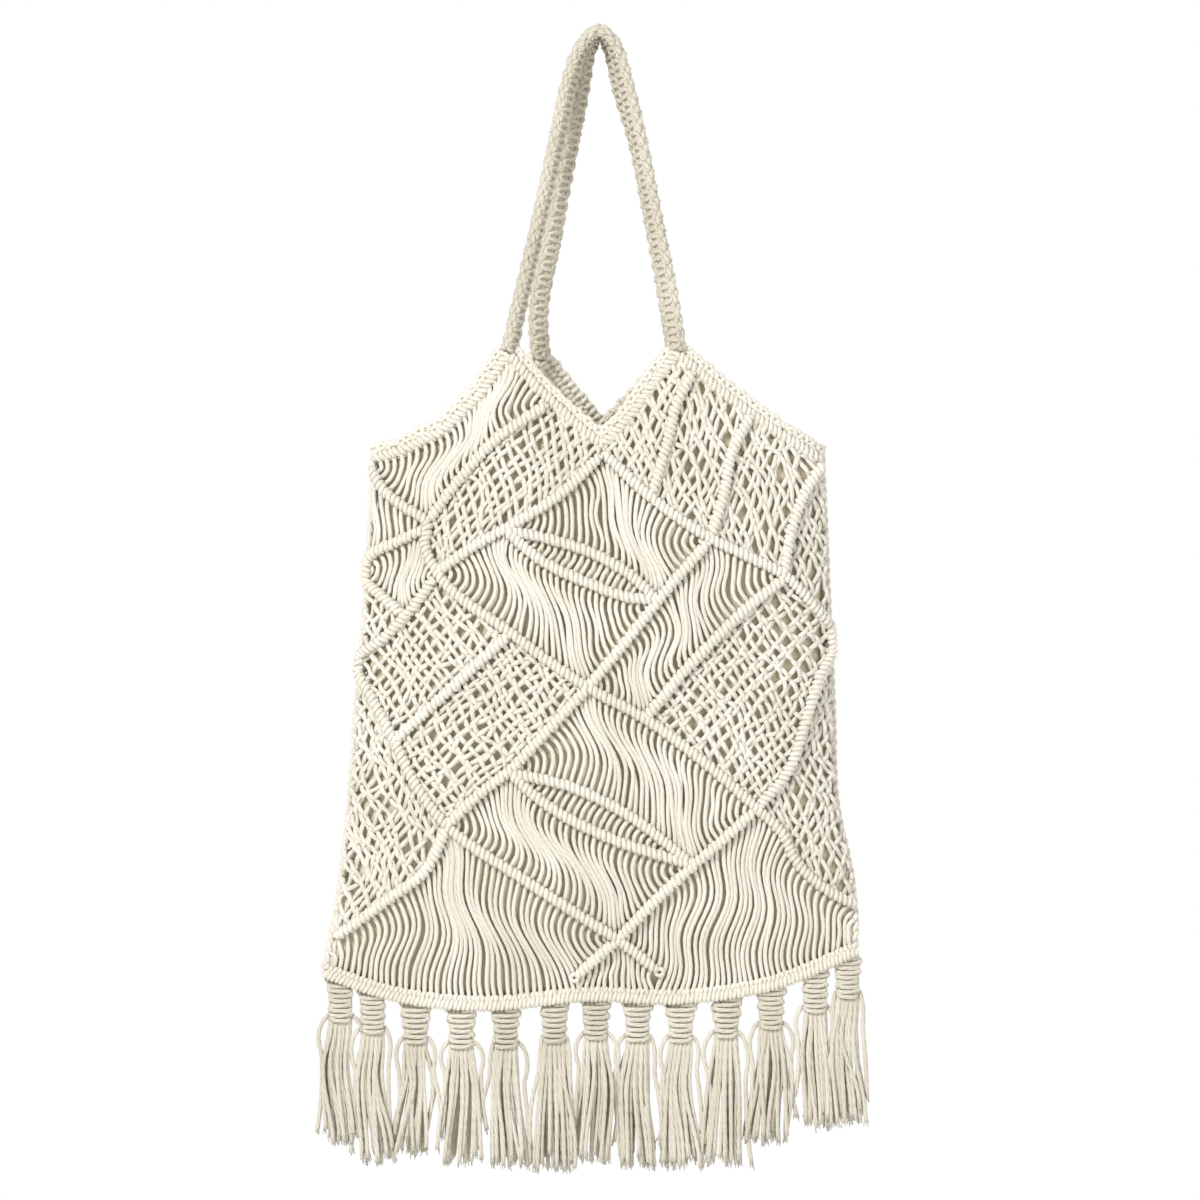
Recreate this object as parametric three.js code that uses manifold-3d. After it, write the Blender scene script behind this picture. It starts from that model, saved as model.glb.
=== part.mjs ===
// A macrame tote bag of cream cotton cord, as it hangs from a peg by its two handles.
// Two knotted walls are closed at the hem by thirteen tassels and hold a thin cloth lining.
// Millimetres, +Z up, the front faces -Y. The origin is where the handles lie on the peg.

import * as THREE from 'three';
import { mergeVertices } from 'three/addons/utils/BufferGeometryUtils.js';
import Module from 'manifold-3d';

const wasm = await Module();
wasm.setup();

// Driving sizes. A wall is one cord thick, and the two walls leave a seam between them at the bag's edges.
const CORD = 4;
const WALL = CORD;
const GAP = 0.4;
const SEAM = 0.8;
const RIB = { width: 10, height: 6.5, lift: 1.7, step: 45, turn: 24, sides: 5 };
const RIM = { radius: 5, sides: 6, endAngle: 74, clear: 9 };
const HEM = { radius: 5, sides: 6, clear: 7, steps: 14 };
const NET = { pitchAcross: 34, pitchUp: 44, halfWidth: 8.5, halfHeight: 12, margin: 12.5, reach: 6 };
const NET_LATTICE = { top: -230, rows: 24, halfColumns: 7 };
const LINING = { thick: 1, inset: 2.4, columns: 20, rows: 6, fromHem: 16, fromRim: 12, past: 6 };
const HANDLE = { width: 14, thick: 10, sides: 6, steps: 24 };
const HEAD = { width: 22, thick: 15, height: 24, taper: 0.84, below: 5.8, sides: 6 };
const LOCK = { width: 11, thick: 11, taper: 0.8, sides: 4, sink: 4 };

// The bag's body from hem (up 0) to rim (up 1): the x of its two edges, and half the depth between the walls.
const SECTIONS = [
  { up: 0, left: -204, right: 189, halfDepth: 5 },
  { up: 0.05, left: -201, right: 190, halfDepth: 11 },
  { up: 0.15, left: -194, right: 187, halfDepth: 25 },
  { up: 0.3, left: -187, right: 176, halfDepth: 36 },
  { up: 0.5, left: -181, right: 173, halfDepth: 42 },
  { up: 0.75, left: -173, right: 169, halfDepth: 38 },
  { up: 1, left: -168, right: 165, halfDepth: 23 },
];

// The hem's height, from the bag's left edge (across 0) to its right edge (across 1).
const HEM_LINE = [
  { across: 0, z: -686 },
  { across: 0.12, z: -702 },
  { across: 0.3, z: -710 },
  { across: 0.5, z: -703 },
  { across: 0.67, z: -705 },
  { across: 0.86, z: -693 },
  { across: 1, z: -670 },
];

// Each wall's rim: two peaks under its handle, with the V notch of the mouth between them. The columns are
// the angles round the bag, -90 at its left edge and 90 at its right, with one on each peak and on the notch.
const FRONT = {
  name: 'front',
  facing: -1,
  columns: [-90, -76, -60, -42, -23.6, -11, 1.2, 11, 20.7, 40, 60, 76, 90],
  rimLine: [
    { across: 0, z: -303 },
    { across: 0.06, z: -298 },
    { across: 0.15, z: -284 },
    { across: 0.237, z: -257 },
    { across: 0.3, z: -226 },
    { across: 0.37, z: -253 },
    { across: 0.45, z: -278 },
    { across: 0.51, z: -294 },
    { across: 0.575, z: -272 },
    { across: 0.62, z: -250 },
    { across: 0.677, z: -226 },
    { across: 0.77, z: -253 },
    { across: 0.88, z: -280 },
    { across: 1, z: -305 },
  ],
};
const BACK = {
  name: 'back',
  facing: 1,
  columns: [-90, -76, -60, -42, -28, -14.8, 1.2, 11, 20.7, 40, 60, 76, 90],
  rimLine: [
    { across: 0, z: -303 },
    { across: 0.06, z: -298 },
    { across: 0.165, z: -284 },
    { across: 0.265, z: -258 },
    { across: 0.372, z: -230 },
    { across: 0.43, z: -255 },
    { across: 0.51, z: -286 },
    { across: 0.6, z: -256 },
    { across: 0.677, z: -226 },
    { across: 0.77, z: -253 },
    { across: 0.88, z: -280 },
    { across: 1, z: -305 },
  ],
};

// The rows of a wall's mesh, by their share of its height.
const ROW_HEIGHTS = [0, 0.07, 0.18, 0.34, 0.56, 0.78, 1];

// The knotted bars of one wall, as [x, z] points seen from the front, in the order in which they are laid:
// a later bar stops short of the ones before it, and one that is crossed comes out as two pieces.
const BARS = [
  {
    pieces: ['long_diagonal'],
    lines: [[[-168, -310], [-161, -325], [-144, -340], [-127, -352], [-129, -368], [-120, -388], [-67, -432],
      [-9, -473], [33, -496], [74, -526], [116, -563], [135, -582], [144, -601], [163, -620], [190, -636]]],
  },
  {
    pieces: ['notch_diagonal'],
    lines: [[[3, -300], [37, -332], [79, -362], [112, -378], [135, -390], [157, -413], [172, -436], [160, -469],
      [150, -502], [138, -536], [116, -562]]],
  },
  {
    pieces: ['left_zigzag'],
    lines: [[[-122, -393], [-140, -417], [-159, -437], [-179, -454], [-169, -478], [-152, -511], [-134, -548],
      [-113, -575], [-59, -613], [-9, -645], [13, -659], [42, -682]]],
  },
  { pieces: ['shoulder'], lines: [[[-40, -264], [-74, -288], [-102, -318], [-126, -350]]] },
  {
    pieces: ['side_chevron'],
    lines: [[[-129, -356], [-148, -365], [-169, -377], [-173, -391], [-159, -407], [-144, -420]]],
  },
  { pieces: ['notch_left'], lines: [[[0, -302], [-30, -331], [-63, -352], [-96, -371], [-120, -388]]] },
  {
    pieces: ['upper_leaf'],
    lines: [
      [[-70, -357], [-41, -363], [-7, -374], [22, -390], [42, -409]],
      [[-70, -357], [-44, -379], [-7, -397], [18, -406], [42, -409]],
    ],
  },
  {
    pieces: ['cross_lower', 'cross_upper'],
    lines: [[[79, -366], [50, -400], [20, -438], [-9, -473], [-47, -514], [-66, -534], [-87, -550], [-113, -575]]],
  },
  { pieces: ['right_cross'], lines: [[[136, -392], [105, -417], [84, -438], [61, -462], [33, -496]]] },
  { pieces: ['strip_inner'], lines: [[[68, -240], [58, -260], [51, -289], [39, -330]]] },
  { pieces: ['strip_middle'], lines: [[[111, -272], [97, -299], [91, -330], [81, -362]]] },
  { pieces: ['strip_outer'], lines: [[[163, -308], [152, -326], [142, -352], [135, -390]]] },
  { pieces: ['left_cross'], lines: [[[-67, -434], [-99, -464], [-127, -490], [-152, -513]]] },
  {
    pieces: ['lower_leaf'],
    lines: [
      [[-66, -536], [-22, -546], [22, -568], [68, -604]],
      [[-66, -536], [-44, -556], [7, -584], [68, -604]],
    ],
  },
  {
    pieces: ['hem_cross_lower', 'hem_cross_upper'],
    lines: [[[114, -564], [89, -587], [68, -605], [41, -630], [13, -659], [-17, -686]]],
  },
  { pieces: ['hem_left'], lines: [[[-113, -577], [-130, -610], [-155, -629], [-194, -658]]] },
];

// The netted fields of one wall, as [x, z] outlines between the bars.
const NET_FIELDS = [
  [[-40, -268], [-2, -304], [-63, -352], [-118, -386], [-126, -350], [-102, -318], [-74, -288]],
  [[58, -240], [166, -308], [135, -388], [79, -361], [5, -298], [30, -268]],
  [[168, -312], [172, -436], [140, -390]],
  [[135, -393], [172, -438], [150, -502], [116, -561], [34, -496]],
  [[-120, -390], [-10, -474], [-66, -534], [-113, -574], [-150, -511], [-179, -456]],
  [[-180, -458], [-113, -577], [-130, -610], [-194, -656]],
  [[174, -440], [116, -565], [144, -601], [190, -634]],
];

// Each handle's route in front view, its y, and how far the strap's width is turned from the front view
// towards the depth of the bag. Both straps lie side by side on the peg.
const FRONT_HANDLE = [
  { x: -67, y: -21, z: -224, turn: 50 },
  { x: -62, y: -20, z: -200, turn: 60 },
  { x: -47, y: -17, z: -135, turn: 80 },
  { x: -32, y: -13, z: -67, turn: 85 },
  { x: -19, y: -9, z: -22, turn: 90 },
  { x: -1, y: -8, z: 7, turn: 90 },
  { x: 14, y: -9, z: -18, turn: 90 },
  { x: 28, y: -13, z: -67, turn: 75 },
  { x: 42, y: -17, z: -135, turn: 45 },
  { x: 54, y: -20, z: -200, turn: 25 },
  { x: 57, y: -21, z: -224, turn: 20 },
];
const BACK_HANDLE = [
  { x: -44, y: 22, z: -228, turn: 20 },
  { x: -46, y: 20, z: -200, turn: 20 },
  { x: -35, y: 17, z: -135, turn: 30 },
  { x: -21, y: 13, z: -67, turn: 60 },
  { x: -11, y: 9, z: -22, turn: 90 },
  { x: 0, y: 8, z: 6, turn: 90 },
  { x: 12, y: 9, z: -22, turn: 90 },
  { x: 26, y: 13, z: -67, turn: 60 },
  { x: 40, y: 17, z: -135, turn: 30 },
  { x: 52, y: 20, z: -200, turn: 20 },
  { x: 57, y: 21, z: -224, turn: 20 },
];

// The tassels from left to right: where each hangs on the hem, the height of its strands' tips, and how many
// times wider it is there than at its head.
const TASSELS = [
  { x: -193, tips: -813, flare: 1.1 },
  { x: -169, tips: -827, flare: 1.1 },
  { x: -137, tips: -821, flare: 1.6 },
  { x: -103, tips: -827, flare: 1.6 },
  { x: -70, tips: -830, flare: 1.6 },
  { x: -34, tips: -832, flare: 1.5 },
  { x: -3, tips: -826, flare: 1.45 },
  { x: 28, tips: -830, flare: 1.45 },
  { x: 60, tips: -831, flare: 1.6 },
  { x: 94, tips: -829, flare: 1.6 },
  { x: 127, tips: -812, flare: 1.6 },
  { x: 160, tips: -801, flare: 1.1 },
  { x: 184, tips: -797, flare: 1.1 },
];

// The locks of one tassel, under its head: where each leaves the head and how short of the tips it ends.
const LOCKS = [
  { x: -5.4, y: -1, short: 8 },
  { x: 0, y: 1.5, short: 0 },
  { x: 5.4, y: -1, short: 10 },
];

const { lerp, clamp, degToRad, radToDeg } = THREE.MathUtils;

// A table's column as a function of another column: smooth through its rows, or straight between them.
function reader(Interpolant, rows, along, column) {
  const line = new Interpolant(rows.map((row) => row[along]), rows.map((row) => row[column]), 1);
  const first = rows[0][along];
  const last = rows[rows.length - 1][along];
  return (at) => line.evaluate(clamp(at, first, last))[0];
}

const leftEdge = reader(THREE.CubicInterpolant, SECTIONS, 'up', 'left');
const rightEdge = reader(THREE.CubicInterpolant, SECTIONS, 'up', 'right');
const halfDepth = reader(THREE.CubicInterpolant, SECTIONS, 'up', 'halfDepth');
const hemLine = reader(THREE.CubicInterpolant, HEM_LINE, 'across', 'z');
for (const side of [FRONT, BACK]) {
  side.rimAt = reader(THREE.LinearInterpolant, side.rimLine, 'across', 'z');
  side.heightAt = (across) => side.rimAt(across) - hemLine(across);
}

const acrossAt = (angle) => (1 + Math.sin(degToRad(angle))) / 2;

// A point of a wall, by its angle round the bag and its share of the height from hem to rim; out is the
// distance outside the wall's middle.
function wall(side, angle, up, out) {
  const across = acrossAt(angle);
  const x = lerp(leftEdge(up) - out, rightEdge(up) + out, across);
  const y = SEAM / 2 + (halfDepth(up) + out) * Math.cos(degToRad(angle));
  return new THREE.Vector3(x, side.facing * y, hemLine(across) + up * side.heightAt(across));
}

// The wall's own outward direction, square to the surface.
function wallNormal(side, angle, up) {
  const nearAngle = 0.5;
  const nearUp = 0.01;
  const alongAngle = wall(side, angle + nearAngle, up, 0).sub(wall(side, angle - nearAngle, up, 0));
  const alongUp = wall(side, angle, up + nearUp, 0).sub(wall(side, angle, up - nearUp, 0));
  return alongAngle.cross(alongUp).multiplyScalar(-side.facing).normalize();
}

// The wall's angle and height at a point given in front view, found by closing in on it.
function placeOnWall(side, x, z) {
  const inset = 0.008;
  let across = 0.5;
  let up = 0.5;
  for (let pass = 0; pass < 12; pass++) {
    up = clamp((z - hemLine(across)) / side.heightAt(across), inset, 1 - inset);
    across = clamp((x - leftEdge(up)) / (rightEdge(up) - leftEdge(up)), inset, 1 - inset);
  }
  return { angle: radToDeg(Math.asin(2 * across - 1)), up };
}

// A closed geometry with every vertex moved by bend, left with shared corners and no empty triangles.
function bent(geometry, bend) {
  const position = geometry.getAttribute('position');
  const point = new THREE.Vector3();
  for (let i = 0; i < position.count; i++) {
    point.fromBufferAttribute(position, i);
    position.setXYZ(i, ...bend(point));
  }
  geometry.deleteAttribute('normal');
  geometry.deleteAttribute('uv');
  const merged = mergeVertices(geometry, 1e-3);
  const corners = [];
  for (let i = 0; i < merged.index.count; i += 3) {
    const [a, b, c] = merged.index.array.slice(i, i + 3);
    if (a !== b && b !== c && c !== a) corners.push(a, b, c);
  }
  return merged.setIndex(corners);
}

function solid(geometry) {
  const vertProperties = new Float32Array(geometry.getAttribute('position').array);
  const triVerts = new Uint32Array(geometry.index.array);
  return new wasm.Manifold(new wasm.Mesh({ numProp: 3, vertProperties, triVerts }));
}

function geometryOf(body) {
  const { vertProperties, triVerts } = body.getMesh();
  const geometry = new THREE.BufferGeometry();
  geometry.setAttribute('position', new THREE.BufferAttribute(new Float32Array(vertProperties), 3));
  geometry.setIndex(new THREE.BufferAttribute(new Uint32Array(triVerts), 1));
  return geometry;
}

const joined = (bodies) => bodies.reduce((whole, body) => whole.add(body));
const cutBy = (whole, bodies) => bodies.reduce((rest, body) => rest.subtract(body), whole);

// A bar of rounded section carried along stations, each a point with the two axes of its section there.
function bar(stations, sides, halfWidth, halfHeight) {
  const steps = stations.length - 1;
  const round = new THREE.CylinderGeometry(1, 1, steps, sides, steps);
  return solid(bent(round, ({ x, y, z }) => {
    const { point, wide, high } = stations[Math.round(y + steps / 2)];
    return point.clone().addScaledVector(wide, x * halfWidth).addScaledVector(high, z * halfHeight);
  }));
}

// Stations along points, with each section square to the route and its high axis nearest to the one given.
function stationsAlong(points, highAxes) {
  return points.map((point, i) => {
    const before = points[Math.max(i - 1, 0)];
    const after = points[Math.min(i + 1, points.length - 1)];
    const along = after.clone().sub(before).normalize();
    const wide = along.clone().cross(highAxes[i]).normalize();
    return { point, wide, high: wide.clone().cross(along) };
  });
}

// The places of one knotted bar on a wall: its own points, with more between them where they are far apart or
// the wall turns round its edge.
function ribPlaces(side, line) {
  const curve = new THREE.SplineCurve(line.map(([x, z]) => new THREE.Vector2(x, z)));
  const spans = line.length - 1;
  const placeAt = (along) => {
    const { x, y: z } = curve.getPoint(along / spans);
    return placeOnWall(side, x, z);
  };
  const places = [];
  for (let span = 0; span < spans; span++) {
    const from = placeAt(span);
    const to = placeAt(span + 1);
    const length = wall(side, from.angle, from.up, 0).distanceTo(wall(side, to.angle, to.up, 0));
    const pieces = Math.ceil(Math.max(length / RIB.step, Math.abs(to.angle - from.angle) / RIB.turn));
    for (let i = 0; i < pieces; i++) places.push(placeAt(span + i / pieces));
  }
  return [...places, placeAt(spans)];
}

// One line of a knotted bar, lying on the outside of a wall; grow widens it all round for cutting.
function rib(side, line, grow) {
  const flatFoot = Math.cos(Math.PI / RIB.sides);
  const height = WALL / 2 + RIB.lift + (flatFoot * RIB.height) / 2;
  const places = ribPlaces(side, line);
  const normals = places.map(({ angle, up }) => wallNormal(side, angle, up));
  const points = places.map(({ angle, up }, i) => wall(side, angle, up, 0).addScaledVector(normals[i], height));
  return bar(stationsAlong(points, normals), RIB.sides, RIB.width / 2 + grow, RIB.height / 2 + grow);
}

// The bar round the mouth, in the thickness of the wall, from near one corner of the bag to the other.
function rim(side, grow) {
  const between = side.columns.filter((angle) => Math.abs(angle) < RIM.endAngle);
  const points = [-RIM.endAngle, ...between, RIM.endAngle].map((angle) => wall(side, angle, 1, 0));
  const outward = points.map(() => new THREE.Vector3(0, side.facing, 0));
  return bar(stationsAlong(points, outward), RIM.sides, RIM.radius + grow, RIM.radius + grow);
}

// The bar along the bottom of one wall.
function hem(side) {
  const points = [];
  for (let i = 0; i <= HEM.steps; i++) {
    const across = i / HEM.steps;
    const y = side.facing * (SEAM + HEM.radius);
    points.push(new THREE.Vector3(lerp(leftEdge(0), rightEdge(0), across), y, hemLine(across)));
  }
  const outward = points.map(() => new THREE.Vector3(0, side.facing, 0));
  return bar(stationsAlong(points, outward), HEM.sides, HEM.radius, HEM.radius);
}

// One knotted wall before its net is opened, from just above the hem to just below the rim.
function wallSheet(side) {
  const columns = side.columns.length - 1;
  const rows = ROW_HEIGHTS.length - 1;
  const sheet = new THREE.BoxGeometry(columns, 1, rows, columns, 1, rows);
  return solid(bent(sheet, ({ x, y, z }) => {
    const angle = side.columns[Math.round(x + columns / 2)];
    const height = side.heightAt(acrossAt(angle));
    const up = lerp(HEM.clear / height, 1 - RIM.clear / height, ROW_HEIGHTS[Math.round(z + rows / 2)]);
    return wall(side, angle, up, side.facing * y * WALL);
  }));
}

// True where a point lies inside an outline and at least a margin away from its sides.
function insideField(x, z, outline, margin) {
  const point = new THREE.Vector3(x, 0, z);
  const corners = outline.map(([cornerX, cornerZ]) => new THREE.Vector3(cornerX, 0, cornerZ));
  const nearest = new THREE.Vector3();
  let inside = false;
  let clearance = Infinity;
  corners.forEach((a, i) => {
    const b = corners[(i + 1) % corners.length];
    const crosses = a.z > z !== b.z > z && x < a.x + ((z - a.z) / (b.z - a.z)) * (b.x - a.x);
    if (crosses) inside = !inside;
    new THREE.Line3(a, b).closestPointToPoint(point, true, nearest);
    clearance = Math.min(clearance, nearest.distanceTo(point));
  });
  return inside && clearance > margin;
}

// The openings of the net: diamonds in staggered rows, wherever a whole one fits inside a netted field.
function netPlaces() {
  const places = [];
  for (let row = 0; row < NET_LATTICE.rows; row++) {
    const z = NET_LATTICE.top - (row * NET.pitchUp) / 2;
    for (let column = -NET_LATTICE.halfColumns; column <= NET_LATTICE.halfColumns; column++) {
      const x = (column + (row % 2) / 2) * NET.pitchAcross;
      if (NET_FIELDS.some((outline) => insideField(x, z, outline, NET.margin))) places.push([x, z]);
    }
  }
  return places;
}

// A four-sided punch for one opening, square to the wall.
function netPunch(side, x, z) {
  const { angle, up } = placeOnWall(side, x, z);
  const middle = wall(side, angle, up, 0);
  const normal = wallNormal(side, angle, up);
  const wide = new THREE.Vector3(0, 0, 1).cross(normal).normalize();
  const low = wide.clone().cross(normal);
  const punch = new THREE.CylinderGeometry(1, 1, 2 * NET.reach, 4, 1);
  return solid(bent(punch, (p) => middle.clone()
    .addScaledVector(wide, p.x * NET.halfWidth)
    .addScaledVector(normal, p.y)
    .addScaledVector(low, p.z * NET.halfHeight)));
}

const panel = (side) => cutBy(wallSheet(side), netPlaces().map(([x, z]) => netPunch(side, x, z)));

// The bars of one wall by name, each stopped a gap short of the rim and of the bars laid before it.
function knottedBars(side) {
  const named = {};
  const laid = [rim(side, GAP)];
  for (const { pieces, lines } of BARS) {
    const whole = cutBy(joined(lines.map((line) => rib(side, line, 0))), laid);
    const bodies = whole.decompose().sort((a, b) => b.volume() - a.volume()).slice(0, pieces.length);
    bodies.sort((a, b) => a.boundingBox().min[2] - b.boundingBox().min[2]);
    bodies.forEach((body, i) => {
      named[pieces[i]] = body;
    });
    laid.push(...lines.map((line) => rib(side, line, GAP)));
  }
  return named;
}

// A closed pouch that follows both walls inside them, from above the hem, where the ring its bottom starts from
// closes to a line along the middle, to below the rim.
function pouch(deeper, fromRim) {
  const profile = [new THREE.Vector2(0.1, 0)];
  for (let i = 0; i <= LINING.rows; i++) profile.push(new THREE.Vector2(1, i / LINING.rows));
  profile.push(new THREE.Vector2(0, 1));
  return solid(bent(new THREE.LatheGeometry(profile, LINING.columns), ({ x, y, z }) => {
    const radius = Math.hypot(x, z);
    const isMiddle = radius < 0.5 || Math.abs(x) > 0.9999;
    const side = z > 0 || isMiddle ? FRONT : BACK;
    const angle = radius > 0 ? radToDeg(Math.asin(clamp(x / radius, -1, 1))) : 0;
    const height = side.heightAt(acrossAt(angle));
    const up = lerp((LINING.fromHem + deeper) / height, 1 - fromRim / height, y);
    const point = wall(side, angle, up, -(WALL / 2 + LINING.inset + deeper));
    return isMiddle ? point.setY(0) : point;
  }));
}

// The lining: a thin cloth pouch, hollowed by a smaller one that reaches out through its open top.
const lining = () => pouch(0, LINING.fromRim).subtract(pouch(LINING.thick, LINING.fromRim - LINING.past));

// A strap carried along its route, its width turning from the front view into the depth of the bag, with its
// two ends shaped to sit on the rim's peaks.
function handle(route, side) {
  const curve = new THREE.CatmullRomCurve3(route.map(({ x, y, z }) => new THREE.Vector3(x, y, z)));
  const turnAt = reader(THREE.LinearInterpolant, route.map(({ turn }, row) => ({ row, turn })), 'row', 'turn');
  const depth = new THREE.Vector3(0, 1, 0);
  const stations = [];
  for (let i = 0; i <= HANDLE.steps; i++) {
    const t = i / HANDLE.steps;
    const along = curve.getTangent(t);
    const turn = degToRad(turnAt(t * (route.length - 1)));
    const wide = along.clone().cross(depth).normalize().applyAxisAngle(along, turn);
    stations.push({ point: curve.getPoint(t), wide, high: wide.clone().cross(along) });
  }
  return cutBy(bar(stations, HANDLE.sides, HANDLE.width / 2, HANDLE.thick / 2), [rim(side, GAP)]);
}

// One tassel: a knotted head under the hem, with its locks fused to it and spreading towards their tips.
function tassel({ x: middle, tips, flare }) {
  const hemAt = (x) => hemLine((x - leftEdge(0)) / (rightEdge(0) - leftEdge(0)));
  const headFoot = hemAt(middle) - HEM.radius - HEAD.height;
  const round = new THREE.CylinderGeometry(1, HEAD.taper, 1, HEAD.sides, 1);
  const head = solid(bent(round, ({ x, y, z }) => {
    const across = middle + (x * HEAD.width) / 2;
    const height = lerp(headFoot, hemAt(across) - HEAD.below, y + 0.5);
    return new THREE.Vector3(across, (-z * HEAD.thick) / 2, height);
  }));
  const locks = LOCKS.map((lock) => {
    const strand = new THREE.CylinderGeometry(1, LOCK.taper, 1, LOCK.sides, 1);
    return solid(bent(strand, ({ x, y, z }) => {
      const down = 0.5 - y;
      const spread = lerp(1, flare, down);
      const across = middle + lock.x * spread + (x * LOCK.width) / 2;
      const height = lerp(headFoot + LOCK.sink, tips + lock.short, down);
      return new THREE.Vector3(across, lock.y * spread - (z * LOCK.thick) / 2, height);
    }));
  });
  return joined([head, ...locks]);
}

// Colours and finish
const CORD_FINISH = { color: 0xe6e0cf, roughness: 0.9, metalness: 0 };
const RIB_FINISH = { color: 0xeee9da, roughness: 0.9, metalness: 0 };
const FRINGE_FINISH = { color: 0xd9d3c4, roughness: 0.95, metalness: 0 };
const LINING_FINISH = { color: 0xb7a988, roughness: 0.85, metalness: 0 };

const bag = new THREE.Group();

function place(name, body, finish) {
  const mesh = new THREE.Mesh(geometryOf(body), new THREE.MeshStandardMaterial(finish));
  mesh.name = name;
  bag.add(mesh);
}

for (const side of [FRONT, BACK]) {
  place(`${side.name}_panel`, panel(side), CORD_FINISH);
  place(`${side.name}_rim`, rim(side, 0), RIB_FINISH);
  place(`${side.name}_hem`, hem(side), RIB_FINISH);
  for (const [name, body] of Object.entries(knottedBars(side))) place(`${side.name}_${name}`, body, RIB_FINISH);
}
place('lining', lining(), LINING_FINISH);
place('front_handle', handle(FRONT_HANDLE, FRONT), CORD_FINISH);
place('back_handle', handle(BACK_HANDLE, BACK), CORD_FINISH);
TASSELS.forEach((row, i) => place(`tassel_${String(i + 1).padStart(2, '0')}`, tassel(row), FRINGE_FINISH));

export default bag;
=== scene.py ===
# %% [markdown]
# # A macrame bag, knot by knot
# The bag hangs by two knotted straps. Two walls of cotton cord meet at the sides and at the hem, thirteen
# tassels hang from the hem, and a tan cloth lining shows between the cords. The imported solids give the
# exact places. All of them stand for something soft, so each is replaced here by its cords or its cloth.
# The first step loads the frame.

# %% Load the frame
import bpy
import numpy as np
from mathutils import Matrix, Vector


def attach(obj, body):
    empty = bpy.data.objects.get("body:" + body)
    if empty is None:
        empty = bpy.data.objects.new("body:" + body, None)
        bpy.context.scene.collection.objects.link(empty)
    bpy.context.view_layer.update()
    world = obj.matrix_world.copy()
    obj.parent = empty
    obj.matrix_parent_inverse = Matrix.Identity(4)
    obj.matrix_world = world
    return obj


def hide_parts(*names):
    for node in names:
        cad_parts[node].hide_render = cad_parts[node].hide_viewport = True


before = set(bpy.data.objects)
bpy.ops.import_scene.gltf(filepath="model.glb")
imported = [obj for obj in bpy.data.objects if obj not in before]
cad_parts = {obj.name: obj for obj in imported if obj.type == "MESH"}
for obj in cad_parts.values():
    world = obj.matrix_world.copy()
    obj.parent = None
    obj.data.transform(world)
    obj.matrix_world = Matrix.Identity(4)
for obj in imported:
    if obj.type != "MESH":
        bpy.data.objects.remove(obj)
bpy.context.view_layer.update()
print("nodes in the frame:", len(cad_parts))

# %% [markdown]
# ## The wall that every cord lies on
# Each wall is a bulging sheet. Across the bag it is half an ellipse, and its width and depth change from
# hem to rim. It could be drawn as one mesh and the cords shrunk onto it. A formula is exact and quick
# instead: any point that the front view shows at x and z is found on the wall, with the direction that
# points out of the bag.

# %% Sizes of the walls, in millimetres
FRONT, BACK = -1, 1
# the gap between the walls where they meet at the sides
SEAM = 0.8
LEFT, RIGHT, HALF_DEPTH = 1, 2, 3
SECTIONS = np.array([
    # share of the height, left edge, right edge, half depth
    (0, -204, 189, 5), (0.05, -201, 190, 11), (0.15, -194, 187, 25), (0.3, -187, 176, 36),
    (0.5, -181, 173, 42), (0.75, -173, 169, 38), (1, -168, 165, 23)])
# share of the width and height, along the hem and along both rims
HEM_LINE = np.array([
    (0, -686), (0.12, -702), (0.3, -710), (0.5, -703), (0.67, -705), (0.86, -693), (1, -670)])
RIM_LINES = {
    FRONT: np.array([
        (0, -303), (0.06, -298), (0.15, -284), (0.237, -257), (0.3, -226), (0.37, -253), (0.45, -278),
        (0.51, -294), (0.575, -272), (0.62, -250), (0.677, -226), (0.77, -253), (0.88, -280), (1, -305)]),
    BACK: np.array([
        (0, -303), (0.06, -298), (0.165, -284), (0.265, -258), (0.372, -230), (0.43, -255), (0.51, -286),
        (0.6, -256), (0.677, -226), (0.77, -253), (0.88, -280), (1, -305)])}
print("the bag is at most", np.ptp(SECTIONS[:, LEFT:RIGHT + 1], axis=1).max(), "mm wide")


# %% Reading the tables
def smooth_read(table, column, at):
    """A cubic through a table's rows: each row has the slope of the line through its two neighbours."""
    places = table[:, 0]
    values = table[:, column]
    slopes = np.gradient(values, places)
    at = np.clip(at, places[0], places[-1])
    row = np.clip(np.searchsorted(places, at, side="right") - 1, 0, len(places) - 2)
    span = places[row + 1] - places[row]
    t = (at - places[row]) / span
    rise = values[row + 1] - values[row]
    start = slopes[row] * span
    end = slopes[row + 1] * span
    return values[row] + start * t + (3 * rise - 2 * start - end) * t**2 + (start + end - 2 * rise) * t**3


def hem_height(across):
    """A cubic through the hem's points."""
    return smooth_read(HEM_LINE, 1, across)


def rim_height(facing, across):
    """Straight lines between the rim's corners."""
    return np.interp(across, RIM_LINES[facing][:, 0], RIM_LINES[facing][:, 1])


print("hem and rim in the middle:", hem_height(0.5), rim_height(FRONT, 0.5))

# %% The two walls
NUDGE = 0.01
SEARCH_ROUNDS = 12


def wall(facing, angle, up, out=0.0):
    """Half an ellipse across the bag at each height: x follows the sine of the angle and depth its cosine,
    z runs from the hem line to the rim, and out stands the point off the middle of the wall."""
    across = (1 + np.sin(angle)) / 2
    left = smooth_read(SECTIONS, LEFT, up) - out
    right = smooth_read(SECTIONS, RIGHT, up) + out
    depth = SEAM / 2 + (smooth_read(SECTIONS, HALF_DEPTH, up) + out) * np.cos(angle)
    hem = hem_height(across)
    height = hem + up * (rim_height(facing, across) - hem)
    return np.stack([left + (right - left) * across, facing * depth, height], axis=-1)


def unit(vectors):
    """Each vector divided by its own length."""
    return vectors / np.maximum(np.linalg.norm(vectors, axis=-1, keepdims=True), 1e-9)


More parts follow.
